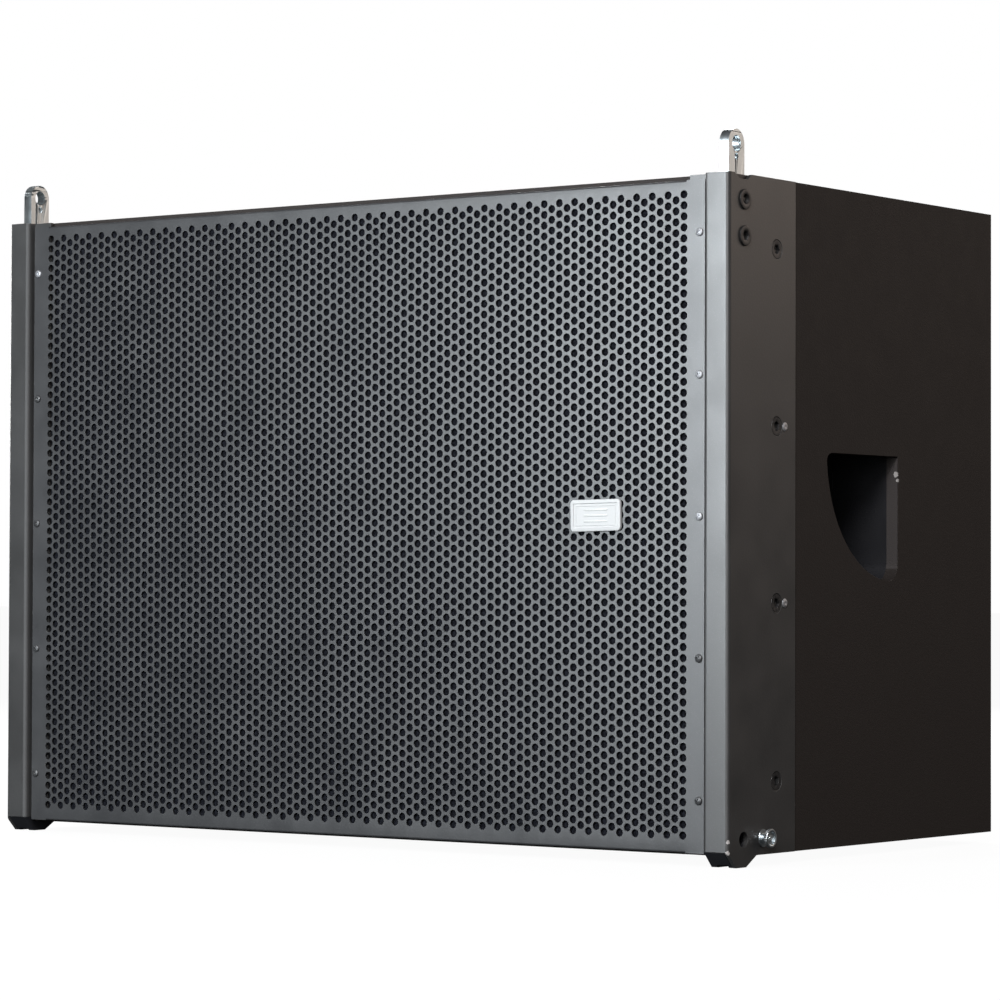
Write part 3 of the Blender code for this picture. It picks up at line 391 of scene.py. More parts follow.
def birch_ply():
    """Raw birch plywood: long grain on the faces and thin plies through the thickness."""
    look = Look("birch_ply", specular=0.3)
    grain = look.noise(0.0035, 5.0, look.stretched((0.12, 1.0, 1.0)), 0.6)
    plies = look.wave(0.0028, "Z", 0.4)
    wood = look.mixed(look.spread(grain, 0.3, 0.7), (0.42, 0.29, 0.16), (0.62, 0.47, 0.29))
    look.colour(look.mixed(look.spread(plies, 0.2, 0.8, 0.0, 0.35), wood, (0.30, 0.19, 0.10)))
    look.roughness(look.spread(grain, 0.3, 0.7, 0.50, 0.68))
    look.bump(grain, 0.00012)
    return look.material


def grained(name, size, one, other, rough, depth, metallic=0.0):
    """A plain stock material with its grain size, two tones, roughness range and relief."""
    look = Look(name, metallic=metallic)
    grain = look.noise(size, 4.0)
    look.colour(look.mixed(look.spread(grain, 0.3, 0.7), one, other))
    look.roughness(look.spread(look.noise(size * 3, 3.0), 0.3, 0.7, *rough))
    look.bump(grain, depth)
    return look.material


def surround():
    """Treated cloth half roll: a fine weave under a satin coating."""
    look = Look("surround", specular=0.35)
    weave = look.maths("MULTIPLY", look.wave(0.0008, "X"), look.wave(0.0008, "Z"))
    look.colour(look.mixed(look.noise(0.01, 3.0), (0.012, 0.012, 0.013), (0.024, 0.024, 0.025)))
    look.roughness(look.spread(weave, 0.0, 1.0, 0.62, 0.80))
    look.bump(weave, 0.00010)
    return look.material


def cone_paper():
    """Pressed paper with felted fibres."""
    look = Look("cone_paper", specular=0.2)
    fibres = look.noise(0.0016, 6.0, look.stretched((1.0, 0.3, 1.0)), 2.0)
    look.colour(look.mixed(look.spread(fibres, 0.3, 0.7), (0.014, 0.014, 0.014), (0.036, 0.035, 0.034)))
    look.roughness(look.spread(fibres, 0.3, 0.7, 0.78, 0.92))
    look.bump(fibres, 0.0002)
    return look.material


def copper():
    """Enamelled wire, wound in even turns."""
    look = Look("copper", metallic=1.0)
    turns = look.wave(0.0005, "Y")
    look.colour(look.mixed(turns, (0.36, 0.15, 0.07), (0.80, 0.42, 0.24)))
    look.roughness(look.spread(turns, 0.0, 1.0, 0.25, 0.38))
    look.bump(turns, 0.0002)
    return look.material


def spider_cloth():
    """Impregnated cloth in a plain weave."""
    look = Look("spider_cloth", specular=0.2)
    weave = look.maths("MULTIPLY", look.wave(0.0006, "X"), look.wave(0.0006, "Z"))
    look.colour(look.mixed(weave, (0.30, 0.20, 0.07), (0.58, 0.42, 0.17)))
    look.roughness(look.spread(weave, 0.0, 1.0, 0.74, 0.90))
    look.bump(weave, 0.00015)
    return look.material


LOOKS = {
    make.__name__: make() for make in (
        textured_paint, stainless_steel, bright_zinc, black_zinc, black_plastic, rubber, acoustic_foam,
        wadding, badge_silver, birch_ply, surround, cone_paper, copper, spider_cloth)
}
for name, *tones in (
        ("rail_powder_coat", (0.026, 0.026, 0.026), (0.034, 0.034, 0.034)),
        ("grille_powder_coat", (0.028, 0.029, 0.031), (0.036, 0.037, 0.039))):
    LOOKS[name] = powder_coat(name, *tones)
for name, *settings in (
        ("badge_grey", 0.0008, (0.46, 0.48, 0.47), (0.54, 0.55, 0.54), (0.34, 0.46), 0.00001),
        ("cast_frame", 0.0015, (0.020, 0.020, 0.021), (0.034, 0.034, 0.035), (0.42, 0.55), 0.00006),
        ("gasket", 0.0009, (0.012, 0.012, 0.012), (0.026, 0.026, 0.026), (0.85, 0.95), 0.0002),
        ("ferrite", 0.0008, (0.024, 0.024, 0.026), (0.046, 0.046, 0.050), (0.50, 0.66), 0.00010),
        ("zinc_plate", 0.004, (0.50, 0.50, 0.44), (0.66, 0.66, 0.62), (0.28, 0.42), 0.00003, 1.0),
        ("cable_pvc", 0.0007, (0.30, 0.020, 0.018), (0.42, 0.034, 0.028), (0.38, 0.50), 0.00003),
        ("contact_brass", 0.002, (0.62, 0.46, 0.20), (0.76, 0.60, 0.30), (0.22, 0.36), 0.00002, 1.0)):
    LOOKS[name] = grained(name, *settings)

# Rounding of the sharp edges of what each finish covers.
EDGE_ROUNDING = {
    "textured_paint": 0.0012,
    "birch_ply": 0.0004,
    "rail_powder_coat": 0.0006,
    "stainless_steel": 0.0007,
    "black_zinc": 0.0004,
    "black_plastic": 0.0008,
    "rubber": 0.0010,
}
SMALL_ROUNDING = 0.0002


# -------------------- mesh helpers
def apply_modifiers(obj):
    """Makes what the modifiers give the object's own mesh."""
    graph = bpy.context.evaluated_depsgraph_get()
    made = bpy.data.meshes.new_from_object(obj.evaluated_get(graph))
    obj.modifiers.clear()
    obj.data = made


def shade(obj):
    """Smooth, except across sharp edges."""
    obj.data.shade_smooth()
    obj.data.set_sharp_from_angle(angle=SHARP_ANGLE)


def mesh_object(name, shape):
    """An object from a shape, which is its points, in the frame's coordinates, and its faces."""
    points, faces = shape
    mesh = bpy.data.meshes.new(name)
    mesh.from_pydata([tuple(point) for point in points], [], faces)
    obj = bpy.data.objects.new(name, mesh)
    bpy.context.scene.collection.objects.link(obj)
    return obj


def piece(name, shape, look, body="cabinet", stands_for=()):
    """A new piece of the object, which rides on a body."""
    obj = mesh_object(name, shape)
    obj.data.materials.append(LOOKS[look])
    shade(obj)
    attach(obj, body)
    if stands_for:
        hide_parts(*stands_for)
    return obj


def close_surface(obj):
    """Makes a mesh one closed surface: joins points that share a place, and fills a lost facet."""
    bm = bmesh.new()
    bm.from_mesh(obj.data)
    bmesh.ops.remove_doubles(bm, verts=bm.verts, dist=WELD_REACH)
    gaps = [edge for edge in bm.edges if edge.is_boundary]
    for face in bmesh.ops.holes_fill(bm, edges=gaps, sides=4)["faces"]:
        face.smooth = True
    bm.to_mesh(obj.data)
    bm.free()


def sink(obj, shape):
    """Cuts a closed shape out of a piece."""
    cutter = mesh_object("cutter", shape)
    cut = obj.modifiers.new("cut", "BOOLEAN")
    cut.object = cutter
    apply_modifiers(obj)
    bpy.data.objects.remove(cutter)


def round_edges(obj, width):
    """Rounds an object's sharp edges and keeps its broad faces flat."""
    bevel = obj.modifiers.new("edges", "BEVEL")
    bevel.width = width
    bevel.segments = 3
    bevel.limit_method = "ANGLE"
    bevel.angle_limit = SHARP_ANGLE
    flat = obj.modifiers.new("flat_faces", "WEIGHTED_NORMAL")
    flat.weight = 100
    flat.keep_sharp = True


def side_name(name, side):
    return f"{name}_{'right' if side > 0 else 'left'}"


def axis_spot(node, y):
    """The point of a node's fore-and-aft axis at this depth."""
    low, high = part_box(node)
    return Vector(((low.x + high.x) / 2, y, (low.z + high.z) / 2))


def facing(direction, spot):
    """Takes a shape made along +Z to one that starts at spot and points in a direction."""
    return Matrix.Translation(spot) @ Vector(direction).to_track_quat("Z", "Y").to_matrix().to_4x4()


# Outlines of turned pieces: the share of a ring's radius at an angle.
def round_outline(angle):
    return 1.0


def hexagon(angle):
    return math.cos(math.pi / 6) / math.cos(angle % (math.pi / 3) - math.pi / 6)


def cross(angle):
    """A cross recess: four arms a third as wide as the whole."""
    off_arm = abs((angle + math.pi / 4) % (math.pi / 2) - math.pi / 4)
    return min(1.0, 0.30 / max(math.sin(off_arm), 0.001))


def knurl(angle):
    return 1.0 + KNURL_DEPTH * math.cos(KNURL_RIDGES * angle)


def lofted(outlines):
    """Points and faces through outlines of equally many points, closed at both ends."""
    count = len(outlines[0])
    faces = []
    for ring in range(len(outlines) - 1):
        for step in range(count):
            beside = (step + 1) % count
            low, high = ring * count, (ring + 1) * count
            faces.append((low + step, low + beside, high + beside, high + step))
    last = (len(outlines) - 1) * count
    faces.append(tuple(range(count))[::-1])
    faces.append(tuple(range(last, last + count)))
    return [point for outline in outlines for point in outline], faces


def turned(rings, steps, transform):
    """Points and faces through rings of (radius, height) or (radius, height, outline)."""
    outlines = []
    for radius, height, *shape in rings:
        outline = shape[0] if shape else round_outline
        outlines.append([])
        for step in range(steps):
            angle = 2 * math.pi * step / steps
            reach = radius * outline(angle)
            point = Vector((reach * math.cos(angle), reach * math.sin(angle), height))
            outlines[-1].append(transform @ point)
    return lofted(outlines)


def rounded_outline(half_width, half_height, corner, steps=6):
    """Points round a rectangle with round corners, anticlockwise."""
    points = []
    for turn, (u, v) in enumerate([(1, 1), (-1, 1), (-1, -1), (1, -1)]):
        for step in range(steps + 1):
            angle = math.radians(90 * turn + 90 * step / steps)
            points.append((u * (half_width - corner) + corner * math.cos(angle),
                           v * (half_height - corner) + corner * math.sin(angle)))
    return points


def padded_slab(name, node, look, cell, edge, lumps, lump_size):
    """A soft slab that fills a CAD solid's box, with round edges and a gently lumpy skin: the size of its
    mesh's cells, the radius of its edges, and the depth and size of its lumps."""
    low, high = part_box(node)
    middle, half = (low + high) / 2, (high - low) / 2
    bm = bmesh.new()
    bmesh.ops.create_cube(bm, size=2.0)
    for axis in range(3):
        along = [line for line in bm.edges
                 if abs((line.verts[0].co - line.verts[1].co)[axis]) > 1.0]
        cuts = max(2, round(2 * half[axis] / cell[axis]))
        bmesh.ops.subdivide_edges(bm, edges=along, cuts=cuts, use_grid_fill=True)
    for vert in bm.verts:
        spot = Vector([value * size for value, size in zip(vert.co, half)])
        inner = Vector([max(-(size - edge), min(size - edge, value)) for value, size in zip(spot, half)])
        out = spot - inner
        skin = inner + out.normalized() * edge if out.length > edge else spot
        swell = lumps * (noise.noise((middle + skin) / lump_size) - 1.0)
        pull = Vector([math.copysign(min(abs(value) / size, 1.0) ** PILLOW_POWER, value)
                       for value, size in zip(skin, half)])
        vert.co = middle + skin + pull * swell
    points = [vert.co.copy() for vert in bm.verts]
    faces = [tuple(vert.index for vert in face.verts) for face in bm.faces]
    bm.free()
    return piece(name, (points, faces), look, stands_for=[node])


# -------------------- grille
SPOKES = [math.radians(30 * k) for k in range(12)]


def hole_centres(column):
    """Centres of a column's holes, lowest first, as (x, z)."""
    low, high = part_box("grille")
    x = (column - (HOLE_COLUMNS - 1) / 2) * COLUMN_STEP
    count = HOLE_ROWS - column % 2
    middle = (low.z + high.z) / 2 + HOLE_RISE
    return [(x, middle + (row - (count - 1) / 2) * HOLE_STEP) for row in range(count)]


def hole_ring(x, z):
    return [(x + HOLE_RADIUS * math.cos(a), z + HOLE_RADIUS * math.sin(a)) for a in SPOKES]


def cell_ring(x, z):
    """Corners and side middles of the hexagon of sheet that belongs to a hole."""
    ring = []
    for k, angle in enumerate(SPOKES):
        reach = HOLE_STEP / 2 if k % 2 else HOLE_STEP / math.sqrt(3)
        ring.append((x + reach * math.cos(angle), z + reach * math.sin(angle)))
    return ring


def edge_outline(column, spokes):
    """Which of a cell's points lie on the rim of the pattern, left to right."""
    if column % 2:
        return spokes[2:5]
    first = 2 if column == 0 else 0
    last = 5 if column == HOLE_COLUMNS - 1 else 7
    return spokes[first:last]


def fold_profile(up):
    """Side view of a long edge, from the flat sheet round the fold and back: (y, z) points."""
    low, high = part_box("grille")
    edge = high.z if up > 0 else low.z
    points = []
    for step in range(7):
        angle = math.radians(15 * step)
        points.append((low.y + FOLD_RADIUS * (1 - math.cos(angle)),
                       edge - up * FOLD_RADIUS * (1 - math.sin(angle))))
    return points + [(high.y, edge)]


def grille_sheet(columns):
    """Front surface of the grille over some columns, as faces of corner points."""
    low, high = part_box("grille")
    front = low.y
    faces = []

    def flat(*corners):
        faces.append([(x, front, z) for x, z in corners])

    def along_edge(left, right, up):
        """What lies beyond the flat sheet over one step: the fold, or the plain end."""
        profile = fold_profile(up)
        if abs(left + right) / 2 > FOLD_HALF:
            profile = [profile[0], (front, high.z if up > 0 else low.z)]
        for (y, z), (next_y, next_z) in zip(profile, profile[1:]):
            strip = [(left, y, z), (right, y, z), (right, next_y, next_z), (left, next_y, next_z)]
            faces.append(strip if up > 0 else strip[::-1])

    for column in columns:
        centres = hole_centres(column)
        for x, z in centres:
            hole, cell = hole_ring(x, z), cell_ring(x, z)
            for k in range(12):
                after = (k + 1) % 12
                flat(hole[k], cell[k], cell[after], hole[after])
        for up, spokes, cell in ((1, (6, 5, 4, 3, 2, 1, 0), cell_ring(*centres[-1])),
                                 (-1, (6, 7, 8, 9, 10, 11, 0), cell_ring(*centres[0]))):
            line = fold_profile(up)[0][1]
            rim = [cell[k] for k in edge_outline(column, spokes)]
            for one, other in zip(rim, rim[1:]):
                strip = [one, other, (other[0], line), (one[0], line)]
                flat(*(strip if up > 0 else strip[::-1]))
                along_edge(one[0], other[0], up)
        if column in (0, HOLE_COLUMNS - 1):
            side_margin(column, centres, flat, along_edge)
    return faces


def side_margin(column, centres, flat, along_edge):
    """Plain sheet between the outermost column and the grille's upright edge."""
    low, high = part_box("grille")
    right = column > 0
    edge = high.x if right else low.x
    spokes = (10, 11, 0, 1, 2) if right else (8, 7, 6, 5, 4)
    rim = []
    for x, z in centres:
        cell = cell_ring(x, z)
        rim += [cell[k] for k in spokes][1 if rim else 0:]
    lines = [fold_profile(-1)[0][1], fold_profile(1)[0][1]]
    rim = [(rim[0][0], lines[0])] + rim + [(rim[-1][0], lines[1])]
    for one, other in zip(rim, rim[1:]):
        strip = [one, (edge, one[1]), (edge, other[1]), other]
        flat(*(strip if right else strip[::-1]))
    for up in (1, -1):
        along_edge(*sorted((edge, rim[0][0])), up)


def perforated_part(name, columns):
    """Part of the perforated sheet with its real thickness."""
    index = {}
    faces = []
    for corners in grille_sheet(columns):
        face = []
        for corner in corners:
            key = tuple(round(value, ROUNDED) for value in corner)
            face.append(index.setdefault(key, (len(index), corner))[0])
        faces.append(face)
    points = [corner for _, corner in index.values()]
    part = piece(name, (points, faces), "grille_powder_coat", stands_for=["grille"])
    solid = part.modifiers.new("sheet", "SOLIDIFY")
    solid.thickness = GRILLE_SHEET
    solid.offset = -1.0
    solid.use_even_offset = True
    apply_modifiers(part)
    shade(part)


def make_grille():
    first, second = HOLE_COLUMNS // 3, 2 * HOLE_COLUMNS // 3
    perforated_part("grille_left_third", range(first))
    perforated_part("grille_middle_third", range(first, second))
    perforated_part("grille_right_third", range(second, HOLE_COLUMNS))


def cross_head(radius, height):
    """Rings of a pan head with a cross recess, from under its rim to the bottom of the recess."""
    shares = [(0.85, -0.3), (0.85, -0.05), (0.97, 0.06), (1.0, 0.3), (0.94, 0.62), (0.78, 0.86),
              (0.55, 1.0, cross), (0.45, 0.4, cross), (0.12, 0.2)]
    return [(radius * across, height * up, *shape) for across, up, *shape in shares]


def make_grille_screws():
    """Small pan heads with a cross recess, five down each side."""
    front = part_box("grille")[0].y
    for side in (1, -1):
        for row, height in enumerate(GRILLE_SCREW_HEIGHTS):
            turn = Matrix.Rotation(0.4 + 1.3 * row + side, 4, "Z")
            spot = facing((0, -1, 0), (side * GRILLE_SCREW_X, front, height)) @ turn
            # Bright zinc on the screws that catch the light: zinc heads, and also a painted highlight.
            zinc_and_highlit = (side, row) in ZINC_AND_HIGHLIT_GRILLE_SCREWS
            piece(f"{side_name('grille_screw', side)}_{row + 1}",
                  turned(cross_head(0.0031, 0.0016), 48, spot),
                  "bright_zinc" if zinc_and_highlit else "grille_powder_coat")


def badge_outline(inset, y):
    """The badge's outline, drawn in by an inset, at a depth."""
    low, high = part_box("badge")
    middle = (low + high) / 2
    half = (high - low) / 2
    corner = max(BADGE_CORNER - inset, 0.0006)
    turn = Matrix.Rotation(-BADGE_TURN, 3, "Y")
    return [middle + turn @ Vector((x, y - middle.y, z))
            for x, z in rounded_outline(half.x - inset - 0.0002, half.z - inset - 0.0002, corner)]


def make_badge():
    """Plate with a raised rim, a sunk field with a fine frame line, and three plain bars."""
    low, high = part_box("badge")
    sunk = low.y + BADGE_SINK
    rings = [(0.0, high.y), (0.0, low.y + 0.0006), (0.0002, low.y + 0.0002), (0.0006, low.y),
             (0.0026, low.y), (0.0031, sunk), (0.0040, sunk), (0.0043, sunk - BADGE_RELIEF),
             (0.0048, sunk - BADGE_RELIEF), (0.0051, sunk)]
    shape = lofted([badge_outline(inset, y) for inset, y in rings])
    piece("badge_plate", shape, "badge_silver", stands_for=["badge"])
    middle = (low + high) / 2
    turn = Matrix.Rotation(-BADGE_TURN, 3, "Y")
    for number, rise in enumerate(BADGE_BARS, 1):
        outlines = []
        for inset, y in ((0.0, sunk - 0.00005), (0.0, sunk - BADGE_RELIEF), (0.0002, sunk - 0.0004)):
            half_width, half_height = (half - inset for half in BADGE_BAR_HALF)
            outlines.append([middle + turn @ Vector((x, y - middle.y, z + rise))
                             for x, z in rounded_outline(half_width, half_height, 0.0005)])
        piece(f"badge_bar_{number}", lofted(outlines), "badge_grey")


make_grille()
make_grille_screws()
make_badge()


# -------------------- fasteners and lock pins
def outward(side):
    return (side, 0, 0)


def node_spot(node, side):
    """Where a turned CAD node's axis meets the outer face of the side plate."""
    low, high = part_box(node)
    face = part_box(side_name("rail", side))[1 if side > 0 else 0].x
    return Vector((face, (low.y + high.y) / 2, (low.z + high.z) / 2))


def threaded(radius, start, end, pitch=0.0008, depth=0.0003):
    """Rings of a thread, from its tip at start to its root at end."""
    rings = [(radius * 0.5, start)]
    count = int((end - start) / pitch)
    for turn in range(count):
        height = start + (turn + 0.5) * pitch
        rings += [(radius - depth, height), (radius, height + pitch / 2)]
    return rings + [(radius - depth, end)]


def make_rail_screws():
    """Countersunk screws with a hexagon socket, flush with the plates, and bright rivets by some."""
    for side in (1, -1):
        for number in range(1, RAIL_SCREWS + 1):
            node = f"{side_name('rail_screw', side)}_{number}"
            spot = node_spot(node, side)
            rings = threaded(0.0022, -0.0130, -0.0030)
            rings += [(0.0041, -0.0028), (0.0064, -0.0006), (0.0067, -0.0004), (0.0066, -0.0002),
                      (0.0044, -0.0002), (0.0040, -0.0003, hexagon), (0.0037, -0.0006, hexagon),
                      (0.0037, -0.0021, hexagon), (0.0008, -0.0024)]
            turn = Matrix.Rotation(0.5 * number, 4, "Z")
            shape = turned(rings, 48, facing(outward(side), spot) @ turn)
            piece(node.replace("rail_screw", "plate_screw"), shape, "black_zinc", stands_for=[node])
            if number in RIVETED_SCREWS:
                spot.y += RIVET_BEHIND_SCREW
                rings = [(0.0033, -0.0002), (0.0034, 0.0002), (0.0031, 0.0006), (0.0022, 0.0009),
                         (0.0012, 0.0010), (0.0008, 0.0008), (0.0003, 0.0008)]
                shape = turned(rings, 32, facing(outward(side), spot))
                piece(f"{side_name('plate_rivet', side)}_{number - 1}", shape, "bright_zinc")


def make_ring_fasteners():
    """Flanged bolts over each link bar: a sprung plunger above, a socket bolt below."""
    flange = [(0.0036, -0.0062), (0.0040, -0.0058), (0.0040, 0.0003), (0.0071, 0.0003), (0.0075, 0.0006),
              (0.0075, 0.0010), (0.0071, 0.0014), (0.0060, 0.0015), (0.0044, 0.0015)]
    cores = {
        "detent_plunger": [(0.0037, 0.0012), (0.0034, -0.0012), (0.0016, -0.0014), (0.0014, -0.0004),
                           (0.0005, -0.0002)],
        "guide_bolt": [(0.0039, 0.0012, hexagon), (0.0036, 0.0008, hexagon), (0.0036, -0.0012, hexagon),
                       (0.0008, -0.0014)]}
    for side in (1, -1):
        for kind, core in cores.items():
            node = side_name(kind, side)
            shape = turned(flange + core, 48, facing(outward(side), node_spot(node, side)))
            piece(node + "_ring", shape, "black_zinc", stands_for=[node])


def flare(inner, outer, start, end, steps=6):
    """Rings of a hollow flare from a neck to a rim."""
    rings = []
    for step in range(1, steps):
        part = step / steps
        rings.append((inner + (outer - inner) * (1 - math.cos(part * math.pi / 2)),
                      start + (end - start) * math.sin(part * math.pi / 2) ** 0.8))
    return rings


def make_lock_pins():
    """Side pins: grooved shank, collar, neck, flared knurled head; a dimpled button inside each."""
    pin = [(0.0040, -0.0185), (0.0052, -0.0181), (0.0055, -0.0175), (0.0055, -0.0150),
           (0.0051, -0.0147), (0.0051, -0.0142), (0.0055, -0.0139), (0.0055, 0.0003), (0.0063, 0.0003),
           (0.0065, 0.0006), (0.0065, 0.0012), (0.0063, 0.0015), (0.0036, 0.0016), (0.0036, 0.0030)]
    pin += flare(0.0036, 0.0070, 0.0030, 0.0061)
    pin += [(0.0069, 0.0061, knurl), (0.0069, 0.0078, knurl), (0.0067, 0.0082), (0.0063, 0.0083),
            (0.0052, 0.0083), (0.0049, 0.0081), (0.0048, 0.0071), (0.0046, 0.0069), (0.0028, 0.0069),
            (0.0027, 0.0067), (0.0027, 0.0006)]
    button = [(0.0022, 0.0035), (0.0024, 0.0037), (0.0024, 0.0071), (0.0022, 0.0074), (0.0018, 0.0075),
              (0.0012, 0.0075), (0.0009, 0.0071), (0.0003, 0.0070)]
    for side in (1, -1):
        for name, node, rings in (("locking_pin", "lock_pin", pin), ("locking_button", "pin_button", button)):
            body = side_name(node, side)
            shape = turned(rings, 144, facing(outward(side), node_spot(body, side)))
            piece(side_name(name, side), shape, "stainless_steel", body=body, stands_for=[body])


def make_rear_pin():
    """A smaller pin of the same kind, with a straight head."""
    base = axis_spot("rear_lock_pin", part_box("rear_receiver")[1].y)
    pin = [(0.0030, -0.0140), (0.0038, -0.0137), (0.0040, -0.0130), (0.0040, -0.0110), (0.0037, -0.0108),
           (0.0037, -0.0104), (0.0040, -0.0102), (0.0040, 0.0003), (0.0060, 0.0003), (0.0063, 0.0006),
           (0.0063, 0.0008, knurl), (0.0063, 0.0045, knurl), (0.0061, 0.0051), (0.0056, 0.0053),
           (0.0028, 0.0053), (0.0025, 0.0051), (0.0024, 0.0048), (0.0024, 0.0014)]
    button = [(0.0018, 0.0035), (0.0021, 0.0038), (0.0021, 0.0073), (0.0018, 0.0077), (0.0010, 0.0078),
              (0.0007, 0.0075), (0.0002, 0.0074)]
    for name, node, rings in (("rear_locking_pin", "rear_lock_pin", pin),
                              ("rear_locking_button", "rear_pin_button", button)):
        shape = turned(rings, 144, facing((0, 1, 0), base))
        piece(name, shape, "stainless_steel", body=node, stands_for=[node])


def make_link_bars():
    """The CAD's link bars, with two dimples sunk in their inner faces too."""
    plunger_low, plunger_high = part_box("detent_plunger_right")
    for side in (1, -1):
        body = side_name("link_bar", side)
        low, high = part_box(body)
        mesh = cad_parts[body].data
        shape = [vert.co for vert in mesh.vertices], [tuple(face.vertices) for face in mesh.polygons]
        bar = piece(side_name("link_bar_dimpled", side), shape, "stainless_steel", body=body,
                    stands_for=[body])
        close_surface(bar)
        inner = low.x if side > 0 else high.x
        for height in (high.z - DIMPLE_BELOW_TOP, (plunger_low.z + plunger_high.z) / 2):
            spot = facing((-side, 0, 0), (inner, (low.y + high.y) / 2, height))
            rings = [(0.0006, -0.0020), (0.0021, -0.0012), (0.0025, -0.0004), (0.0025, 0.0010)]
            sink(bar, turned(rings, 24, spot))
        close_surface(bar)
        round_edges(bar, EDGE_ROUNDING["stainless_steel"])


make_rail_screws()
make_ring_fasteners()
make_link_bars()
make_lock_pins()
make_rear_pin()


# -------------------- sockets, woofer and soft parts
def keyed(angle):
    """A round post with four grooves for a plug's contacts."""
    off = abs((angle + math.pi / 4) % (math.pi / 2) - math.pi / 4)
    return 0.80 if off < 0.22 else 1.0


def make_plate_screws():
    """Pan heads in the corners of the rear plate."""
    low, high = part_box("connector_plate")
    for number, (u, v) in enumerate([(-1, -1), (1, -1), (-1, 1), (1, 1)], 1):
        x = (low.x + high.x) / 2 + u * ((high.x - low.x) / 2 - PLATE_SCREW_INSET)
        z = (low.z + high.z) / 2 + v * ((high.z - low.z) / 2 - PLATE_SCREW_INSET)
        turn = Matrix.Rotation(0.7 * number, 4, "Z")
        shape = turned(cross_head(0.0036, 0.0020), 48, facing((0, 1, 0), (x, high.y, z)) @ turn)
        piece(f"connector_plate_screw_{number}", shape, "black_zinc")


def make_socket_cores():
    """The grooved core of each speaker socket, with a contact in each groove."""
    for kind in ("input", "link"):
        node = f"speaker_socket_{kind}"
        base = axis_spot(node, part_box(node)[1].y)
        rings = [(0.0066, -0.0202), (0.0066, -0.0190), (0.0052, -0.0185, keyed), (0.0052, -0.0060, keyed),
                 (0.0048, -0.0052, keyed), (0.0020, -0.0050), (0.0014, -0.0060), (0.0006, -0.0062)]
        shape = turned(rings, 96, facing((0, 1, 0), base))
        piece(f"socket_core_{kind}", shape, "black_plastic")
        for number in range(SOCKET_CONTACTS):
            spot = facing((0, 1, 0), base) @ Matrix.Rotation(number * math.pi / 2, 4, "Z")
            strip = []
            for inset, height in ((0.0, -0.0188), (0.0, -0.0075), (0.0003, -0.0068)):
                strip.append([spot @ Vector((CONTACT_OFF_AXIS + x, y, height))
                              for x, y in rounded_outline(0.0004 - inset, 0.0009 - inset, 0.0001, 2)])
            piece(f"socket_contact_{kind}_{number + 1}", lofted(strip), "contact_brass")


def make_woofer_bolts():
    """Socket-head bolts round the woofer's flange, over the gasket."""
    centre = axis_spot("woofer_gasket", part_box("woofer_gasket")[0].y)
    for number in range(WOOFER_BOLTS):
        angle = 2 * math.pi * (number + 0.5) / WOOFER_BOLTS
        spot = centre + WOOFER_BOLT_CIRCLE * Vector((math.cos(angle), 0.0, math.sin(angle)))
        rings = [(0.0040, 0.0003), (0.0043, 0.0006), (0.0043, 0.0040), (0.0040, 0.0044), (0.0026, 0.0044),
                 (0.0025, 0.0042, hexagon), (0.0024, 0.0022, hexagon), (0.0006, 0.0019)]
        shape = turned(rings, 48, facing((0, -1, 0), spot))
        piece(f"woofer_bolt_{number + 1}", shape, "black_zinc")


def flexing_ring(name, node, look, profile, sectors):
    """A ring round the woofer's axis, in sectors that meet edge to edge. The profile gives (radius, depth)
    points."""
    centre = axis_spot(node, 0.0)
    for number in range(sectors):
        outlines = []
        for step in range(FLEX_STEPS + 1):
            angle = 2 * math.pi * (number + step / FLEX_STEPS) / sectors
            outlines.append([centre + Vector((radius * math.cos(angle), depth, radius * math.sin(angle)))
                             for radius, depth in profile])
        sector = mesh_object(f"{name}_{number + 1}", lofted(outlines))
        sector.data.materials.append(LOOKS[look])
        shade(sector)
        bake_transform(sector)
        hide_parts(node)


def make_surround():
    """Half roll of coated cloth between the cone and the frame."""
    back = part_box("woofer_surround")[1].y
    front = back - SURROUND_SHEET
    inner, outer = SURROUND_SPAN
    roll_front, roll_back = [], []
    for step in range(SURROUND_STEPS + 1):
        angle = math.pi * step / SURROUND_STEPS
        for side, radius, level in ((roll_front, ROLL_RADIUS, front),
                                    (roll_back, ROLL_RADIUS - SURROUND_SHEET, back)):
            side.append((ROLL_MIDDLE - radius * math.cos(angle), level - radius * math.sin(angle)))
    profile = [(inner, back), (inner, front)] + roll_front + [(outer, front), (outer, back)] + roll_back[::-1]
    flexing_ring("surround", "woofer_surround", "surround", profile, SURROUND_SECTORS)


def make_spider():
    """Corrugated cloth between the voice coil and the frame."""
    low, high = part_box("woofer_spider")
    level = (low.y + high.y) / 2
    inner, outer = SPIDER_SPAN
    first_wave, last_wave = SPIDER_WAVES
    front_side, back_side = [], []
    for step in range(SPIDER_STEPS + 1):
        radius = inner + (outer - inner) * step / SPIDER_STEPS
        swing = 0.0
        if first_wave < radius < last_wave:
            swing = SPIDER_SWING * math.sin(2 * math.pi * (radius - first_wave) / SPIDER_WAVE)
        front_side.append((radius, level - SPIDER_HALF_SHEET - swing))
        back_side.append((radius, level + SPIDER_HALF_SHEET - swing))
    flexing_ring("spider", "woofer_spider", "spider_cloth", front_side + back_side[::-1], SPIDER_SECTORS)


def make_soft_parts():
    foam = padded_slab("foam_sheet", "grille_foam", "acoustic_foam", cell=(0.008, 0.004, 0.008),
                       edge=0.0016, lumps=0.00025, lump_size=0.006)
    pad = padded_slab("wadding_pad", "damping_wadding", "wadding", cell=(0.007, 0.005, 0.005),
                      edge=0.009, lumps=0.0030, lump_size=0.030)


make_plate_screws()
make_socket_cores()
make_woofer_bolts()
make_surround()
make_spider()
make_soft_parts()


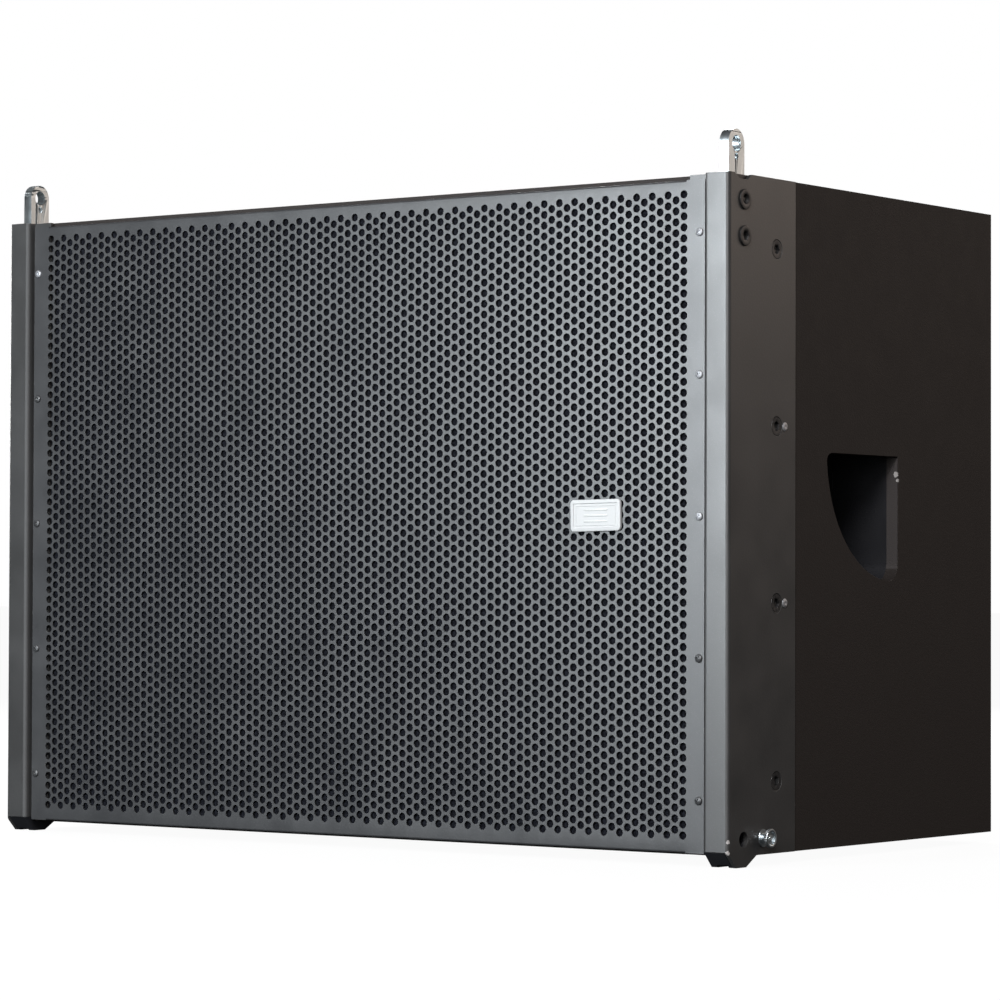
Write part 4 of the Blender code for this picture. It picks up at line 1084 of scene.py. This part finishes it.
# -------------------- CAD nodes
def dress_nodes():
    """Gives each shown CAD node its finish, smooth shading and rounded edges."""
    for name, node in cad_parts.items():
        slot = node.data.materials[0].name
        node.data.materials[0] = LOOKS[slot]
        for attribute in ("custom_normal", "sharp_edge", "sharp_face"):
            if attribute in node.data.attributes:
                node.data.attributes.remove(node.data.attributes[attribute])
        weld = node.modifiers.new("weld", "WELD")
        weld.merge_threshold = WELD_REACH
        round_edges(node, EDGE_ROUNDING.get(slot, SMALL_ROUNDING))


dress_nodes()


# -------------------- camera, light and floor
def make_camera():
    camera = bpy.data.objects.new("camera", bpy.data.cameras.new("camera"))
    camera.data.lens = CAMERA_LENS
    camera.data.sensor_width = CAMERA_SENSOR
    camera.data.clip_start = 0.05
    camera.location = CAMERA_SPOT
    level = Vector((-math.sin(CAMERA_AZIMUTH), math.cos(CAMERA_AZIMUTH), 0.0))
    ahead = level * math.cos(CAMERA_PITCH) + Vector((0.0, 0.0, math.sin(CAMERA_PITCH)))
    right = Vector((math.cos(CAMERA_AZIMUTH), math.sin(CAMERA_AZIMUTH), 0.0))
    up = right.cross(ahead)
    turn = Matrix((right * math.cos(CAMERA_ROLL) + up * math.sin(CAMERA_ROLL),
                   up * math.cos(CAMERA_ROLL) - right * math.sin(CAMERA_ROLL), -ahead)).transposed()
    camera.rotation_euler = turn.to_euler()
    bpy.context.scene.collection.objects.link(camera)
    bpy.context.scene.camera = camera


def softbox(name, spot, aim, size, power, colour):
    light = bpy.data.lights.new(name, "AREA")
    light.shape = "RECTANGLE"
    light.size, light.size_y = size
    light.energy = power
    light.color = colour
    lamp = bpy.data.objects.new(name, light)
    lamp.location = spot
    lamp.rotation_euler = (Vector(aim) - Vector(spot)).to_track_quat("-Z", "Y").to_euler()
    lamp.visible_camera = False
    bpy.context.scene.collection.objects.link(lamp)


def make_world():
    """White to the camera; for the light it gives, a pale horizon in a dim room."""
    world = bpy.data.worlds.new("studio")
    bpy.context.scene.world = world
    world.use_nodes = True
    nodes, links = world.node_tree.nodes, world.node_tree.links
    nodes.clear()
    place = nodes.new("ShaderNodeTexCoord")
    split = nodes.new("ShaderNodeSeparateXYZ")
    ramp = nodes.new("ShaderNodeValToRGB")
    stops = ramp.color_ramp.elements
    for number, (position, tone) in enumerate(WORLD_TONES):
        stop = stops[number] if number < 2 else stops.new(position)
        stop.position = position
        stop.color = (tone, tone, tone, 1.0)
    lift = nodes.new("ShaderNodeMapRange")
    lift.inputs["From Min"].default_value = -1.0
    path = nodes.new("ShaderNodeLightPath")
    given, seen = nodes.new("ShaderNodeBackground"), nodes.new("ShaderNodeBackground")
    mix, out = nodes.new("ShaderNodeMixShader"), nodes.new("ShaderNodeOutputWorld")
    for source, socket in (
            (place.outputs["Generated"], split.inputs[0]), (split.outputs["Z"], lift.inputs["Value"]),
            (lift.outputs["Result"], ramp.inputs["Fac"]), (ramp.outputs["Color"], given.inputs["Color"]),
            (path.outputs["Is Camera Ray"], mix.inputs["Fac"]), (given.outputs[0], mix.inputs[1]),
            (seen.outputs[0], mix.inputs[2]), (mix.outputs[0], out.inputs["Surface"])):
        links.new(source, socket)
    seen.inputs["Color"].default_value = (1.0, 1.0, 1.0, 1.0)


def make_floor():
    mesh = bpy.data.meshes.new("floor")
    bm = bmesh.new()
    bmesh.ops.create_grid(bm, x_segments=1, y_segments=1, size=FLOOR_HALF)
    bm.to_mesh(mesh)
    bm.free()
    floor = bpy.data.objects.new("floor", mesh)
    floor.location.z = -FLOOR_DROP
    bpy.context.scene.collection.objects.link(floor)
    look = Look("floor", roughness=0.9, specular=0.0)
    look.shader.inputs["Base Color"].default_value = (0.05, 0.05, 0.05, 1.0)
    look.shader.inputs["Emission Color"].default_value = (1.0, 1.0, 1.0, 1.0)
    look.shader.inputs["Emission Strength"].default_value = FLOOR_GLOW
    mesh.materials.append(look.material)
    floor.visible_diffuse = False
    floor.visible_glossy = False
    floor.visible_shadow = False


make_camera()
for box in SOFTBOXES:
    softbox(*box)
make_world()
make_floor()
bpy.context.scene.view_settings.view_transform = "Standard"
